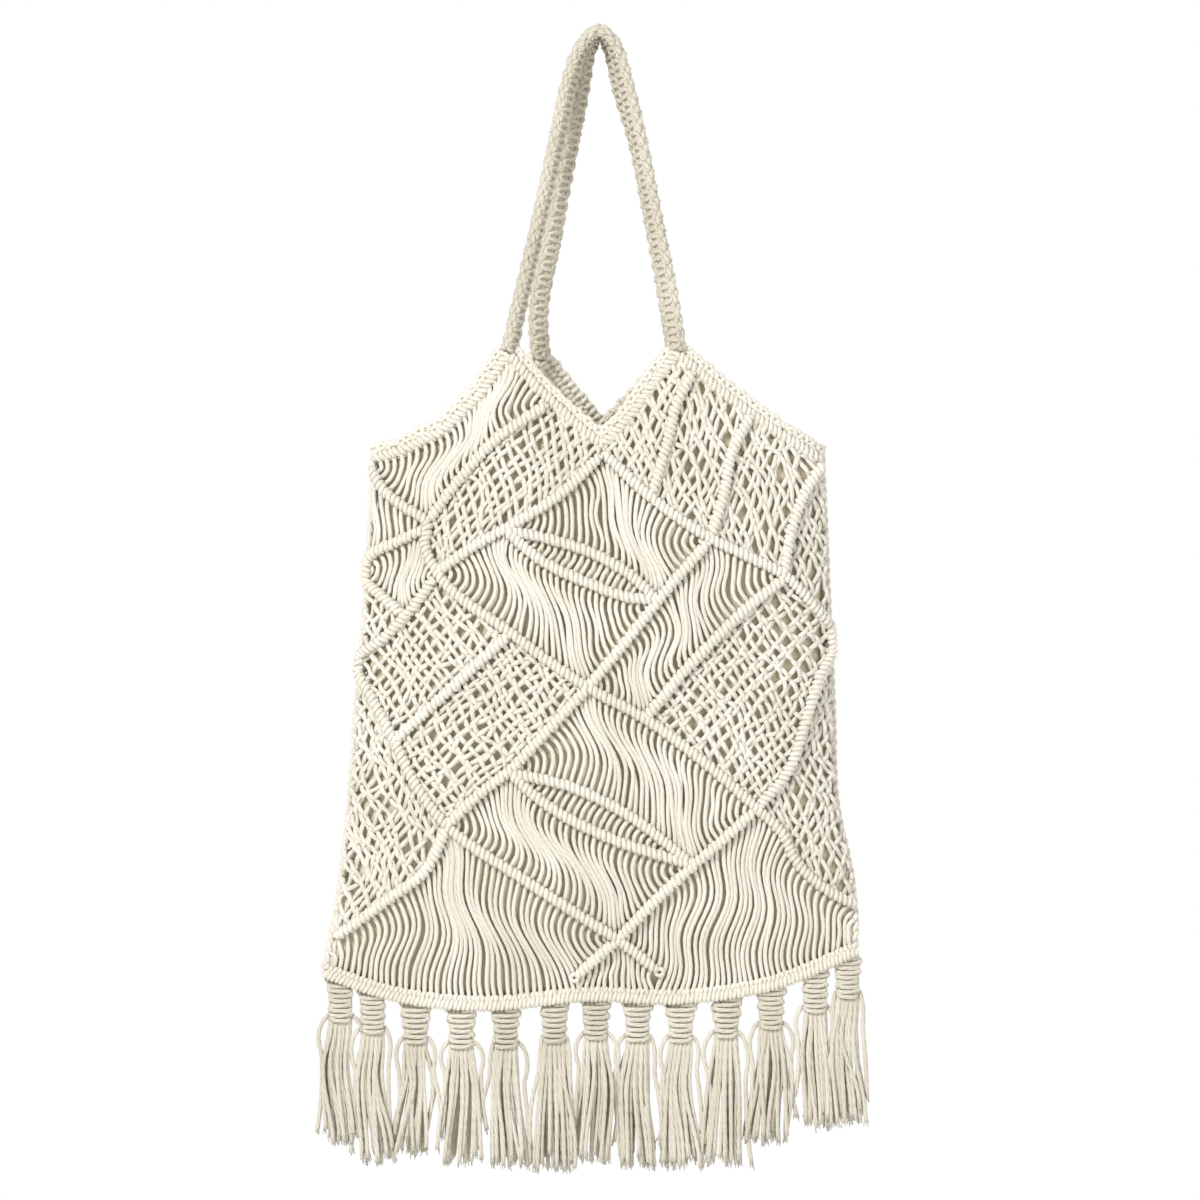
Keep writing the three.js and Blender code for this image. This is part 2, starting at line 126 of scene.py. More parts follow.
def wall_normal(facing, angle, up):
    """The direction out of the bag: the cross product of the wall's two slopes."""
    sideways = wall(facing, angle + NUDGE, up) - wall(facing, angle - NUDGE, up)
    upward = wall(facing, angle, up + NUDGE) - wall(facing, angle, np.maximum(up, 2 * NUDGE) - NUDGE)
    return unit(-facing * np.cross(sideways, upward))


def on_wall(facing, flat, out=0.0):
    """The places on the wall that the front view shows at flat, each an x and a z, closed in on by repeated
    reading, and the direction out of the bag there."""
    x, z = flat[..., 0], flat[..., 1]
    up = np.full(x.shape, 0.5)
    for _ in range(SEARCH_ROUNDS):
        left = smooth_read(SECTIONS, LEFT, up)
        right = smooth_read(SECTIONS, RIGHT, up)
        across = np.clip((x - left) / (right - left), 0.004, 0.996)
        hem = hem_height(across)
        up = np.clip((z - hem) / (rim_height(facing, across) - hem), 0.0, 1.05)
    angle = np.arcsin(2 * across - 1)
    normal = wall_normal(facing, angle, np.clip(up, 0.02, 0.97))
    return wall(facing, angle, up) + normal * np.asarray(out)[..., None], normal


print("middle of the front wall:", on_wall(FRONT, np.array([0.0, -480.0]))[0].round(1))

# %% [markdown]
# ## From lines to cords
# A cord is a round profile carried along a path. Curve objects could give that, but a mesh lets each
# cord carry its own map: once round it, and its length in centimetres along it, so a twist pattern
# follows every bend. Many cords of equal point count are made in one go, as one large array.

# %% Lines
READS_PER_POINT = 40


def length_along(line):
    """The length of a line from its first point to each of its points."""
    return np.r_[0, np.cumsum(np.linalg.norm(np.diff(line, axis=0), axis=1))]


def read_at(at, places, rows):
    """Rows of numbers read at new places, on the straight lines between them."""
    return np.stack([np.interp(at, places, rows[:, k]) for k in range(rows.shape[1])], axis=-1)


def even_steps(line, step):
    """The same line with its points spaced evenly along its length."""
    length = length_along(line)
    count = max(3, int(round(length[-1] / step)) + 1)
    return read_at(np.linspace(0, length[-1], count), length, line)


def along_line(points, step):
    """A smooth line through the points, a cubic between neighbours, read at even steps of its length."""
    points = np.asarray(points, float)
    chord = length_along(points)
    fine = np.linspace(0, chord[-1], READS_PER_POINT * len(points))
    table = np.c_[chord, points]
    line = np.stack([smooth_read(table, k + 1, fine) for k in range(points.shape[1])], axis=-1)
    return even_steps(line, step)


RIM_ANGLE = np.linspace(-1.5, 1.5, 241)
print("length of the front rim:", length_along(wall(FRONT, RIM_ANGLE, np.ones(241)))[-1].round())

# %% Tubes
SEED = 20
chance = np.random.default_rng(SEED)
CM = 10


def tubes(paths, high, half_high, half_wide=None, sides=6):
    """Round or flattened cords: an ellipse, half_high in the high direction and half_wide across it, is
    carried along each path of an array of (cords, steps, 3), and closed at both ends."""
    cords, steps, _ = paths.shape
    half_wide = half_high if half_wide is None else half_wide
    heading = unit(np.gradient(paths, axis=1))
    across = unit(np.cross(heading, high))
    high = np.cross(across, heading)
    turn = 2 * np.pi * np.arange(sides) / sides
    half_high = np.broadcast_to(half_high, (cords, steps))[:, :, None, None]
    half_wide = np.broadcast_to(half_wide, (cords, steps))[:, :, None, None]
    ring = high[:, :, None] * half_high * np.cos(turn)[:, None]
    ring = ring + across[:, :, None] * half_wide * np.sin(turn)[:, None]
    points = paths[:, :, None] + ring
    index = np.arange(cords * steps * sides).reshape(cords, steps, sides)
    following = np.roll(index, -1, axis=2)
    quads = np.stack([index[:, :-1], following[:, :-1], following[:, 1:], index[:, 1:]], axis=-1)
    steps_long = np.linalg.norm(np.diff(paths, axis=1), axis=2)
    length = np.concatenate([np.zeros((cords, 1)), np.cumsum(steps_long, axis=1)], axis=1) / CM
    u = np.broadcast_to(np.arange(sides) / sides, (cords, steps - 1, sides))
    v = np.broadcast_to(length[:, :-1, None], u.shape)
    w = np.broadcast_to(length[:, 1:, None], u.shape)
    maps = np.stack([np.stack([u, v], -1), np.stack([u + 1 / sides, v], -1),
                     np.stack([u + 1 / sides, w], -1), np.stack([u, w], -1)], axis=3)
    ends = np.concatenate([index[:, 0, ::-1], index[:, -1]])
    return {"points": points.reshape(-1, 3), "faces": [quads.reshape(-1, 4), ends],
            "maps": [maps.reshape(-1, 2), np.zeros((ends.size, 2))],
            "tint": np.repeat(chance.random(cords), steps * sides)}


def gather(parts):
    """Several sets of surfaces as one, with each set's corner numbers moved past the ones before it."""
    starts = np.r_[0, np.cumsum([len(part["points"]) for part in parts])]
    return {"points": np.concatenate([part["points"] for part in parts]),
            "faces": [face + start for part, start in zip(parts, starts) for face in part["faces"]],
            "maps": [one for part in parts for one in part["maps"]],
            "tint": np.concatenate([part["tint"] for part in parts])}


print("seed of all unevenness:", SEED)

# %% Finished pieces
MM = 0.001
triangles = {}


def piece(name, surface, material, nodes):
    """One finished piece: its mesh, the map along its cords, a tint for each cord, its finish, its place."""
    mesh = bpy.data.meshes.new(name)
    mesh.vertices.add(len(surface["points"]))
    mesh.vertices.foreach_set("co", (surface["points"] * MM).ravel())
    corners = np.concatenate([face.ravel() for face in surface["faces"]])
    sizes = np.concatenate([np.full(len(face), face.shape[1]) for face in surface["faces"]])
    mesh.loops.add(len(corners))
    mesh.loops.foreach_set("vertex_index", corners)
    mesh.polygons.add(len(sizes))
    mesh.polygons.foreach_set("loop_start", np.cumsum(sizes) - sizes)
    mesh.polygons.foreach_set("use_smooth", np.ones(len(sizes), bool))
    mesh.uv_layers.new(name="along_cord").data.foreach_set("uv", np.concatenate(surface["maps"]).ravel())
    mesh.attributes.new("tint", "FLOAT", "POINT").data.foreach_set("value", surface["tint"])
    mesh.update(calc_edges=True)
    mesh.validate()
    mesh.materials.append(material)
    made = bpy.data.objects.new(name, mesh)
    bpy.context.scene.collection.objects.link(made)
    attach(made, "root")
    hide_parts(*nodes)
    triangles[name] = int((sizes - 2).sum())
    return made


print("scene units in a millimetre:", MM)

# %% [markdown]
# ## Cotton in four finishes, and the cloth
# The cord is undyed spun cotton, three soft plies laid together. It is matt and cream coloured, with
# faint slanting grooves between the plies, painted a little darker as painted shade, and a few warmer or
# greyer cords among the others. The knots use a copy painted lighter, painted light, and the straps and
# the fringe use copies painted darker, painted shade. The lining is plain tan cotton. An image could show
# all that, but a few nodes that read the cord's own map do it at any distance, and every number starts from
# a real size.


# %% Colour and node helpers
def linear(hex_colour):
    """An sRGB hex colour as linear light, with full opacity."""
    part = np.array([int(hex_colour[i:i + 2], 16) for i in (1, 3, 5)]) / 255
    light = np.where(part <= 0.04045, part / 12.92, ((part + 0.055) / 1.055) ** 2.4)
    return (*light.tolist(), 1.0)


def bare_material(name):
    """A new material and its node tree, which is still empty."""
    material = bpy.data.materials.new(name)
    material.use_nodes = True
    material.node_tree.nodes.clear()
    return material, material.node_tree


def add(tree, kind, sockets=(), **settings):
    """One node: its settings, and for each socket either a value or the output that is linked to it."""
    made = tree.nodes.new(kind)
    for name, value in settings.items():
        setattr(made, name, value)
    for key, value in dict(sockets).items():
        if isinstance(value, bpy.types.NodeSocket):
            tree.links.new(value, made.inputs[key])
        else:
            made.inputs[key].default_value = value
    return made


def ridges(tree, value, per_unit):
    """The height of a row of round ridges: the sine of half a turn for each ridge, without its sign."""
    turned = add(tree, "ShaderNodeMath", {0: value, 1: np.pi * per_unit}, operation="MULTIPLY").outputs[0]
    wave = add(tree, "ShaderNodeMath", {0: turned}, operation="SINE").outputs[0]
    return add(tree, "ShaderNodeMath", {0: wave}, operation="ABSOLUTE").outputs[0]


def matt_cotton(tree, share, pale, deep, height, relief, relief_mm, **surface):
    """The end of every finish: the colour goes from pale to deep by share, and the height gives relief."""
    colour = add(tree, "ShaderNodeMix", {"Factor": share, 6: linear(pale), 7: linear(deep)},
                 data_type="RGBA").outputs[2]
    bump = add(tree, "ShaderNodeBump", {
        "Height": height, "Strength": relief, "Distance": relief_mm * MM}).outputs[0]
    shader = add(tree, "ShaderNodeBsdfPrincipled", {
        "Base Color": colour, "IOR": 1.5, "Specular IOR Level": 0.25, "Normal": bump, **surface})
    add(tree, "ShaderNodeOutputMaterial", {"Surface": shader.outputs[0]})


print("middle grey in linear light:", round(linear("#808080")[0], 3))

# %% Cotton cord
PLIES = 3.0
# a real fibre is far finer and would be lost in the render
FIBRE_MM = 1.6
PATCH_MM = 45
GROOVE_MM = 0.5
# how far a patch, a cord's own tint and the crown of a ply move the colour towards the deep one; the
# crown's share is below zero, so crowns are paler and the grooves darker, which is painted shade
PATCH_SHARE, TINT_SHARE, PLY_SHADE_SHARE = 0.9, 0.3, -0.35


def cotton(name, pale, deep, lay_mm, groove, fuzz):
    """Spun cotton: three plies slant round the cord, each once in three lays. The grooves between them are
    painted a little deeper in colour as painted shade, and the crowns paler. Soft patches and the cord's own
    tint also move the colour, and fibres roughen the surface."""
    material, tree = bare_material(name)
    place = add(tree, "ShaderNodeTexCoord").outputs["Object"]
    cord_map = add(tree, "ShaderNodeUVMap", uv_map="along_cord").outputs["UV"]
    split = add(tree, "ShaderNodeSeparateXYZ", {0: cord_map}).outputs
    lays = add(tree, "ShaderNodeMath", {0: split["Y"], 1: CM / lay_mm}, operation="MULTIPLY").outputs[0]
    plies = add(tree, "ShaderNodeMath", {0: split["X"], 1: PLIES, 2: lays},
                operation="MULTIPLY_ADD").outputs[0]
    crown = ridges(tree, plies, 1)
    fibre = add(tree, "ShaderNodeTexNoise", {
        "Vector": place, "Scale": 1 / (FIBRE_MM * MM), "Detail": 3.0, "Roughness": 0.6}).outputs["Fac"]
    patch = add(tree, "ShaderNodeTexNoise", {
        "Vector": place, "Scale": 1 / (PATCH_MM * MM), "Detail": 2.0}).outputs["Fac"]
    tint = add(tree, "ShaderNodeAttribute", attribute_name="tint").outputs["Fac"]
    # painted shade: darker in the grooves between the plies, paler on their crowns
    share = add(tree, "ShaderNodeMath", {0: crown, 1: PLY_SHADE_SHARE}, operation="MULTIPLY").outputs[0]
    share = add(tree, "ShaderNodeMath", {0: tint, 1: TINT_SHARE, 2: share},
                operation="MULTIPLY_ADD").outputs[0]
    share = add(tree, "ShaderNodeMath", {0: patch, 1: PATCH_SHARE, 2: share}, operation="MULTIPLY_ADD",
                use_clamp=True).outputs[0]
    height = add(tree, "ShaderNodeMath", {0: fibre, 1: fuzz, 2: crown}, operation="MULTIPLY_ADD").outputs[0]
    matt_cotton(tree, share, pale, deep, height, groove, GROOVE_MM,
                **{"Roughness": 0.88, "Sheen Weight": 0.15, "Sheen Roughness": 0.5})
    return material


# Undyed cotton cord: matt cream, faint twist.
CORD_COTTON = cotton("undyed_cotton_cord", "#DCD8CD", "#C3BCAD", 7.0, 0.5, 1.1)
# The same cord in the knots, a copy painted a little brighter: painted light where the knots stand out.
KNOT_COTTON_PAINTED_LIGHT = cotton("knotted_cotton_cord_painted_light", "#DFDBD0", "#C9C2B2", 7.0, 0.35, 0.9)
# The straps' cord, a shade greyer: painted shade for their dark creases and shaded faces.
STRAP_COTTON_PAINTED_SHADE = cotton("strap_cotton_cord_painted_shade", "#CBC6B8", "#A79F8D", 7.0, 0.5, 0.9)
# Loose cord ends: the twist opens, so the fibres show more. The colour is greyer and darker than the body
# cord, painted shade for the shade that falls on the fringe.
FRINGE_COTTON_PAINTED_SHADE = cotton("open_cotton_fringe_painted_shade", "#D2CDBF", "#B3AB9A", 9.0, 0.8, 2.0)
print("nodes in each cotton:", len(CORD_COTTON.node_tree.nodes))

# %% Lining cloth
# the real thread is about half as wide and would be lost in the render
THREAD_MM = 1.6
SLUB_MM = 12
# painted shade: the colour is deeper between the threads and paler where they cross on top
WEAVE_SHADE_SHARE = -0.5
THREAD_RELIEF_MM = 0.3


def plain_weave(name, pale, deep):
    """Plain weave: threads cross over and under in turn, so two rows of ridges at right angles share the
    height. The same ridges make the colour paler on the crossings and deeper between the threads, painted
    shade, and thicker slubs in the thread move the colour between pale and deep."""
    material, tree = bare_material(name)
    place = add(tree, "ShaderNodeTexCoord").outputs["Object"]
    split = add(tree, "ShaderNodeSeparateXYZ", {0: place}).outputs
    warp, weft = [ridges(tree, split[axis], 1 / (THREAD_MM * MM)) for axis in ("X", "Z")]
    weave = add(tree, "ShaderNodeMath", {0: warp, 1: weft}, operation="MULTIPLY").outputs[0]
    slub = add(tree, "ShaderNodeTexNoise", {
        "Vector": place, "Scale": 1 / (SLUB_MM * MM), "Detail": 4.0}).outputs["Fac"]
    share = add(tree, "ShaderNodeMath", {0: weave, 1: WEAVE_SHADE_SHARE, 2: slub}, operation="MULTIPLY_ADD",
                use_clamp=True).outputs[0]
    matt_cotton(tree, share, pale, deep, weave, 0.4, THREAD_RELIEF_MM, Roughness=0.85)
    return material


# Tan cotton lining: flat and matt, a little darker and warmer than the cords in front of it.
LINING_CLOTH = plain_weave("tan_cotton_lining", "#D6CDB4", "#BDB398")
print("materials:", [material.name for material in bpy.data.materials])

# %% [markdown]
# ## Knotted bars
# A bar is a row of double half hitches: every cord that meets it is wound twice round a carrier cord.
# Each hitch could be a ring of its own, but neighbours touch, so a single coil round the carrier looks
# the same. Its turns lean towards the vertical, as the hanging cords pull them. Two bars end in a small
# eye, where no other bar meets them.

# %% Where the bars run
BARS = {
    # points of the front view, x and z
    "long_diagonal": [
        (-168, -310), (-161, -325), (-144, -340), (-127, -352), (-129, -368), (-120, -388), (-67, -432),
        (-9, -473), (33, -496), (74, -526), (116, -563), (135, -582), (144, -601), (163, -620),
        (190, -636)],
    "notch_diagonal": [
        (3, -300), (37, -332), (79, -362), (112, -378), (135, -390), (157, -413), (172, -436), (160, -469),
        (150, -502), (138, -536), (116, -562)],
    "left_zigzag": [
        (-122, -393), (-140, -417), (-159, -437), (-179, -454), (-169, -478), (-152, -511), (-134, -548),
        (-113, -575), (-59, -613), (-9, -645), (13, -659), (42, -682)],
    "shoulder": [(-40, -264), (-74, -288), (-102, -318), (-126, -350)],
    "side_chevron": [(-129, -356), (-148, -365), (-169, -377), (-173, -391), (-159, -407), (-144, -420)],
    "notch_left": [(0, -302), (-30, -331), (-63, -352), (-96, -371), (-120, -388)],
    "upper_leaf": [(-70, -357), (-41, -363), (-7, -374), (22, -390), (42, -409)],
    "upper_leaf_under": [(-70, -357), (-44, -379), (-7, -397), (18, -406), (42, -409)],
    "cross_upper": [(79, -366), (50, -400), (20, -438), (-9, -473)],
    "cross_lower": [(-9, -473), (-47, -514), (-66, -534), (-87, -550), (-113, -575)],
    "right_cross": [(136, -392), (105, -417), (84, -438), (61, -462), (33, -496)],
    "strip_inner": [(68, -240), (58, -260), (51, -289), (39, -330)],
    "strip_middle": [(111, -272), (97, -299), (91, -330), (81, -362)],
    "strip_outer": [(163, -308), (152, -326), (142, -352), (135, -390)],
    "left_cross": [(-67, -434), (-99, -464), (-127, -490), (-152, -513)],
    "lower_leaf": [(-66, -536), (-22, -546), (22, -568), (68, -604)],
    "lower_leaf_under": [(-66, -536), (-44, -556), (7, -584), (68, -604)],
    "hem_cross_upper": [(114, -564), (89, -587), (68, -605), (41, -630), (13, -659)],
    "hem_cross_lower": [(13, -659), (-17, -686)],
    "hem_left": [(-113, -577), (-130, -610), (-155, -629), (-194, -658)]}
# a leaf has two lines in one piece
SECOND_LINE = "_under"
FREE_ENDS = ("left_zigzag", "hem_cross_lower")
print("lines of hitches on each wall:", len(BARS))

# %% Windings
WINDINGS = {
    # half height and half width of the coil, its pitch, its cord, the lean of its turns, the carrier cord
    "bar": (2.5, 2.7, 4.0, 2.0, 0.4, 2.3),
    "rim": (2.8, 3.0, 4.0, 2.0, 0.8, 2.5),
    "hem": (2.9, 3.0, 3.2, 1.8, 0.3, 2.7),
    "turns over the hem": (1.3, 1.5, 3.4, 1.4, -0.5, 1.3)}
PER_TURN = 8
COIL_SIDES = 5
# hitches come in pairs, so the turns are shifted by this angle to and fro
PAIR_SHIFT = 0.4
TURN_UNEVEN, SIZE_UNEVEN = 0.15, 0.04
# the size of a coil at its very end, and what it gains in each millimetre from there
END_SIZE, END_GAIN = 0.45, 0.12


def wander(count, smooth, size):
    """Seeded unevenness along a line: random steps averaged over their neighbours."""
    noise = chance.normal(size=count + 2 * smooth)
    soft = np.convolve(noise, np.ones(smooth) / np.sqrt(smooth), mode="same")
    return size * soft[smooth:smooth + count]


def winding(line, normal, half_high, half_wide, pitch, cord, lean, carrier):
    """A cord wound round a carrier cord: a circle in the plane across the line, drawn out by one pitch a turn
    and sheared by lean, so that the turns slope. Every second gap is wider, because the hitches come in
    pairs, and the last turns are drawn in."""
    length = length_along(line)
    turns = length[-1] / pitch
    place = np.linspace(0, 1, int(turns * PER_TURN) + 1) * length[-1]
    middle = read_at(place, length, line)
    outward = unit(read_at(place, length, normal))
    heading = unit(np.gradient(middle, axis=0))
    upward = unit(np.cross(heading, outward))
    upward = upward * np.sign(upward[:, 2:3].mean() + 1e-6)
    hand = np.sign(heading[:, 2].mean() + 1e-6)
    paired = 2 * np.pi * place / pitch + PAIR_SHIFT * np.sin(np.pi * place / pitch)
    turn = hand * paired + wander(len(place), PER_TURN * 2, TURN_UNEVEN)
    from_end = np.minimum(place, length[-1] - place)
    swell = np.clip(END_SIZE + END_GAIN * from_end, 0, 1) * (1 + wander(len(place), PER_TURN, SIZE_UNEVEN))
    radial = outward * np.cos(turn)[:, None] + upward * np.sin(turn)[:, None]
    path = middle + outward * (half_high * swell * np.cos(turn))[:, None]
    path = path + upward * (half_wide * swell * np.sin(turn))[:, None]
    path = path + heading * (hand * lean * np.sin(turn))[:, None]
    coil = tubes(path[None], radial, cord, pitch / 2, COIL_SIDES)
    return gather([coil, tubes(line[None], normal, carrier)])


print("kinds of winding:", list(WINDINGS))

# %% Wind the bars
BAR_LIFT = 3.4
BAR_STEP = 4.0
EYE_RADIUS = 2.7
EYE_CORD = 1.6
SIDES = {"front": FRONT, "back": BACK}


def bar_surface(facing, points):
    """A winding that stands off the wall."""
    return winding(*on_wall(facing, along_line(points, BAR_STEP), BAR_LIFT), *WINDINGS["bar"])


def end_eye(facing, points):
    """The small eye in which a bar ends where no other bar meets it: a circle just past the last point."""
    before, last = np.array(points[-2:], float)
    middle = last + unit(last - before) * EYE_RADIUS
    turn = np.linspace(0, 2 * np.pi, 13)
    flat = middle + EYE_RADIUS * np.stack([np.cos(turn), np.sin(turn)], axis=-1)
    path, normal = on_wall(facing, flat, BAR_LIFT)
    return tubes(path[None], normal, EYE_CORD)


for side, facing in SIDES.items():
    for bar, points in BARS.items():
        if bar.endswith(SECOND_LINE):
            continue
        surfaces = [bar_surface(facing, points)]
        if bar + SECOND_LINE in BARS:
            surfaces.append(bar_surface(facing, BARS[bar + SECOND_LINE]))
        if bar in FREE_ENDS:
            surfaces.append(end_eye(facing, points))
        node = side + "_" + bar
        piece(node + "_hitches", gather(surfaces), KNOT_COTTON_PAINTED_LIGHT, [node])
print("bars:", len(triangles), "with triangles:", sum(triangles.values()))

# %% [markdown]
# ## The rim and the hem
# The rim is the thickest bar. Above it runs the row of loops by which the cords were first hung on it,
# which shows as a small chain. Links could be set one by one, but a narrow band of square knots gives the
# same chain as one surface. The hem has the same hitches on each wall, side by side, and closes the bag.

# %% Square knots
PER_KNOT = 9
# how long the cords stay at the edges, how level they cross, and how much shorter the front crossing is
EDGE_STAY, LEVELNESS, RUNG_INSET = 0.42, 2.2, 0.8


def square_knots(line, wide, thick, half_wide, half_thick, pitch, cord, sag=0.0, uneven=0.04):
    """Two working cords. The first crosses in front from edge to edge, a flattened cosine. The second
    crosses behind, and at the edges it comes forward over the turns of the first. Both go along the band
    mostly at its edges, so the crossings lie level, and a ladder with round edges shows. They start in the
    middle of the band and end at an edge."""
    length = length_along(line)
    knots = max(2, int(round(length[-1] / pitch)))
    phase = np.pi * np.linspace(0.5, knots + 1, knots * PER_KNOT + 1)
    place = length[-1] * (phase - np.pi / 2 + EDGE_STAY * np.sin(2 * phase)) / (np.pi * (knots + 0.5))
    middle, wide, thick = [read_at(place, length, part) for part in (line, wide, thick)]
    heading = unit(np.gradient(middle, axis=0))
    across = (np.tanh(LEVELNESS * np.cos(phase)) / np.tanh(LEVELNESS))[:, None]
    breadth = (half_wide * (1 + wander(len(place), PER_KNOT, uneven)))[:, None]
    level = np.abs(np.sin(phase))[:, None]
    rung = -wide * (breadth - RUNG_INSET) * across + thick * half_thick * (0.5 + 0.5 * level)
    loop = wide * breadth * across + thick * half_thick * np.cos(2 * phase)[:, None]
    paths = np.stack([middle + rung + heading * sag * level, middle + loop])
    return tubes(paths, unit(np.stack([rung, loop])), cord)


print("points in a band of 50 knots:", 2 * (50 * PER_KNOT + 1))

# %% Rim and hem
# the wall's direction is read a little below the rim's corners
BELOW_RIM = 6.0
LOOPS_UP, LOOPS_IN = 6.8, 0.8
LOOP_BAND = dict(half_wide=2.3, half_thick=1.9, pitch=5.2, cord=1.85, sag=0.4, uneven=0.16)
LOOP_CORE = 1.6
HEM_PAST_END = 0.006
HEM_FROM_MIDDLE = 5.8
TURNS_OUT, TURNS_UP = 0.3, 5.2
HEM_LEFT, HEM_RIGHT = SECTIONS[0, LEFT], SECTIONS[0, RIGHT]


def rim_surface(facing):
    """The rim's winding, and over it a narrow band of knots, where the cords were first looped on."""
    line = even_steps(wall(facing, RIM_ANGLE, np.ones_like(RIM_ANGLE)), BAR_STEP)
    _, normal = on_wall(facing, line[:, [0, 2]] - np.array([0.0, BELOW_RIM]))
    upward = unit(np.cross(unit(np.gradient(line, axis=0)), normal))
    upward = upward * np.sign(upward[:, 2:3])
    loops = line + upward * LOOPS_UP - normal * LOOPS_IN
    return gather([winding(line, normal, *WINDINGS["rim"]),
                   square_knots(loops, upward, normal, **LOOP_BAND), tubes(loops[None], normal, LOOP_CORE)])


def hem_surface(facing):
    """The hem's winding along the bottom edge, beside the middle of the bag, and over it a row of small turns
    where the hanging cords go in."""
    across = np.linspace(-HEM_PAST_END, 1 + HEM_PAST_END, 200)
    x = HEM_LEFT + (HEM_RIGHT - HEM_LEFT) * across
    line = np.stack([x, np.full_like(x, facing * HEM_FROM_MIDDLE), hem_height(across)], axis=-1)
    line = even_steps(line, BAR_STEP)
    normal = np.broadcast_to(np.array([0.0, facing, 0.0]), line.shape)
    above = line + np.array([0.0, facing * TURNS_OUT, TURNS_UP])
    return gather([winding(line, normal, *WINDINGS["hem"]),
                   winding(above, normal, *WINDINGS["turns over the hem"])])


for side, facing in SIDES.items():
    piece(side + "_rim_hitches", rim_surface(facing), KNOT_COTTON_PAINTED_LIGHT, [side + "_rim"])
    piece(side + "_hem_hitches", hem_surface(facing), KNOT_COTTON_PAINTED_LIGHT, [side + "_hem"])
print("pieces so far:", len(triangles), "with triangles:", sum(triangles.values()))

# %% [markdown]
# ## Fields of hanging cords
# Between the bars the cords hang free. Each leaves the bar above it at a right angle and meets the bar
# below it at a right angle, so near a corner they nest in arcs and in the middle they run in long S
# shapes. A simulation would find such curves slowly. A cubic with those two directions at its ends gives
# the same curve at once.

# %% Lines that cords hang between
LINE_POINTS = 400
EDGE_ANGLE = 1.53
EVEN_SHARE = np.linspace(0, 1, LINE_POINTS)
LINES = {bar: along_line(points, 1.0) for bar, points in BARS.items()}
LINES["hem"] = np.stack([np.linspace(HEM_LEFT, HEM_RIGHT, LINE_POINTS), hem_height(EVEN_SHARE)], axis=-1)
for edge, angle in (("left_edge", -EDGE_ANGLE), ("right_edge", EDGE_ANGLE)):
    LINES[edge] = wall(FRONT, np.full(LINE_POINTS, angle), EVEN_SHARE)[:, [0, 2]]


def rim_view(facing):
    """The rim as the front view shows it."""
    angle = np.linspace(-np.pi / 2, np.pi / 2, 2 * LINE_POINTS)
    return wall(facing, angle, np.ones_like(angle))[:, [0, 2]]


def stretch(part):
    """A whole bar by its name, from its end to its start if a minus sign comes first, or the part of a line
    between two points of the front view."""
    if isinstance(part, str):
        line = LINES[part.lstrip("-")]
        return line[::-1] if part.startswith("-") else line
    name, *ends = part
    first, last = [np.argmin(np.hypot(*(LINES[name] - end).T)) for end in ends]
    line = LINES[name][min(first, last):max(first, last) + 1]
    return line if first <= last else line[::-1]


print("lines:", len(LINES), "and the rim of each wall")

# %% How a field of cords hangs
# a knot sets a cord's direction over about this length
REACH = 34
# and the corners of a bar are evened out over this one
CORNER_REACH = 25
BOW = 2.1
STEP, FEWEST_STEPS, MOST_STEPS = 4.5, 9, 22
SHARING_ROUNDS, SHARING = 16, 0.6
# the sway that a field's cords share, its waves in each millimetre down and across, and each cord's own
SWAY, SWAY_DOWN, SWAY_ACROSS, OWN_SWAY = 2.6, 0.085, 0.03, 0.4
# neighbours lie one over and one under, and all stand out a little halfway down
OVER, UNDER, BELLY = 0.5, -0.3, 0.3


def downward(line):
    """The direction at right angles to a line, down into the field, evened out round its corners."""
    heading = unit(np.gradient(line, axis=0))
    across = np.stack([heading[:, 1], -heading[:, 0]], axis=-1)
    reach = max(3, min(CORNER_REACH, len(line) // 3))
    padded = np.pad(across, ((reach, reach), (0, 0)), mode="edge")
    window = np.hanning(2 * reach + 1)
    return unit(np.stack([np.convolve(padded[:, k], window, mode="valid") for k in range(2)], axis=-1))


def hanging_cords(facing, top, bottom, radius, spacing, bow=BOW):
    """Cubic curves between two lines, at right angles to both. Each cord is then moved a few times towards
    the middle of the two beside it, most of all halfway down, so that neighbours share the room. All sway
    together."""
    upper, lower = [np.concatenate([even_steps(stretch(part), 1.0) for part in parts])
                    for parts in (top, bottom)]
    count = max(3, int(round((len(upper) + len(lower)) / 2 / spacing)))
    share = (np.arange(count) + 0.5 + chance.normal(0, 0.1, count)) / count
    ends = []
    for line in (upper, lower):
        rows = np.arange(len(line))
        at = share * (len(line) - 1)
        ends += [read_at(at, rows, line), unit(read_at(at, rows, downward(line)))]
    start, leave, end, meet = [part[:, None] for part in ends]
    gap = np.linalg.norm(ends[2] - ends[0], axis=1)
    pull = (bow * REACH * np.tanh(gap / REACH))[:, None, None]
    t = np.linspace(0, 1, int(np.clip(np.median(gap) / STEP, FEWEST_STEPS, MOST_STEPS)))[None, :, None]
    arch = np.sin(np.pi * t)
    flat = (start * (2 * t**3 - 3 * t**2 + 1) + leave * pull * (t**3 - 2 * t**2 + t)
            + end * (3 * t**2 - 2 * t**3) + meet * pull * (t**3 - t**2))
    for _ in range(SHARING_ROUNDS):
        flat[1:-1] += SHARING * arch * ((flat[:-2] + flat[2:]) / 2 - flat[1:-1])
    free = arch[:, :, 0] * np.minimum(gap / 45, 1.5)[:, None]
    together = SWAY * np.sin(flat[:, :, 1] * SWAY_DOWN + flat[:, :, 0] * SWAY_ACROSS + chance.uniform(0, 6))
    own = chance.normal(0, OWN_SWAY, (count, 1))
    own = own + chance.normal(0, OWN_SWAY, (count, 1)) * np.sin(3 * np.pi * t[:, :, 0])
    flat[:, :, 0] += free * (together + own)
    depth = np.where(np.arange(count) % 2, OVER, UNDER)[:, None] + BELLY * arch[:, :, 0]
    paths, normals = on_wall(facing, flat, depth)
    return tubes(paths, normals, radius)


print("a knot sets a cord's direction over", REACH, "mm")

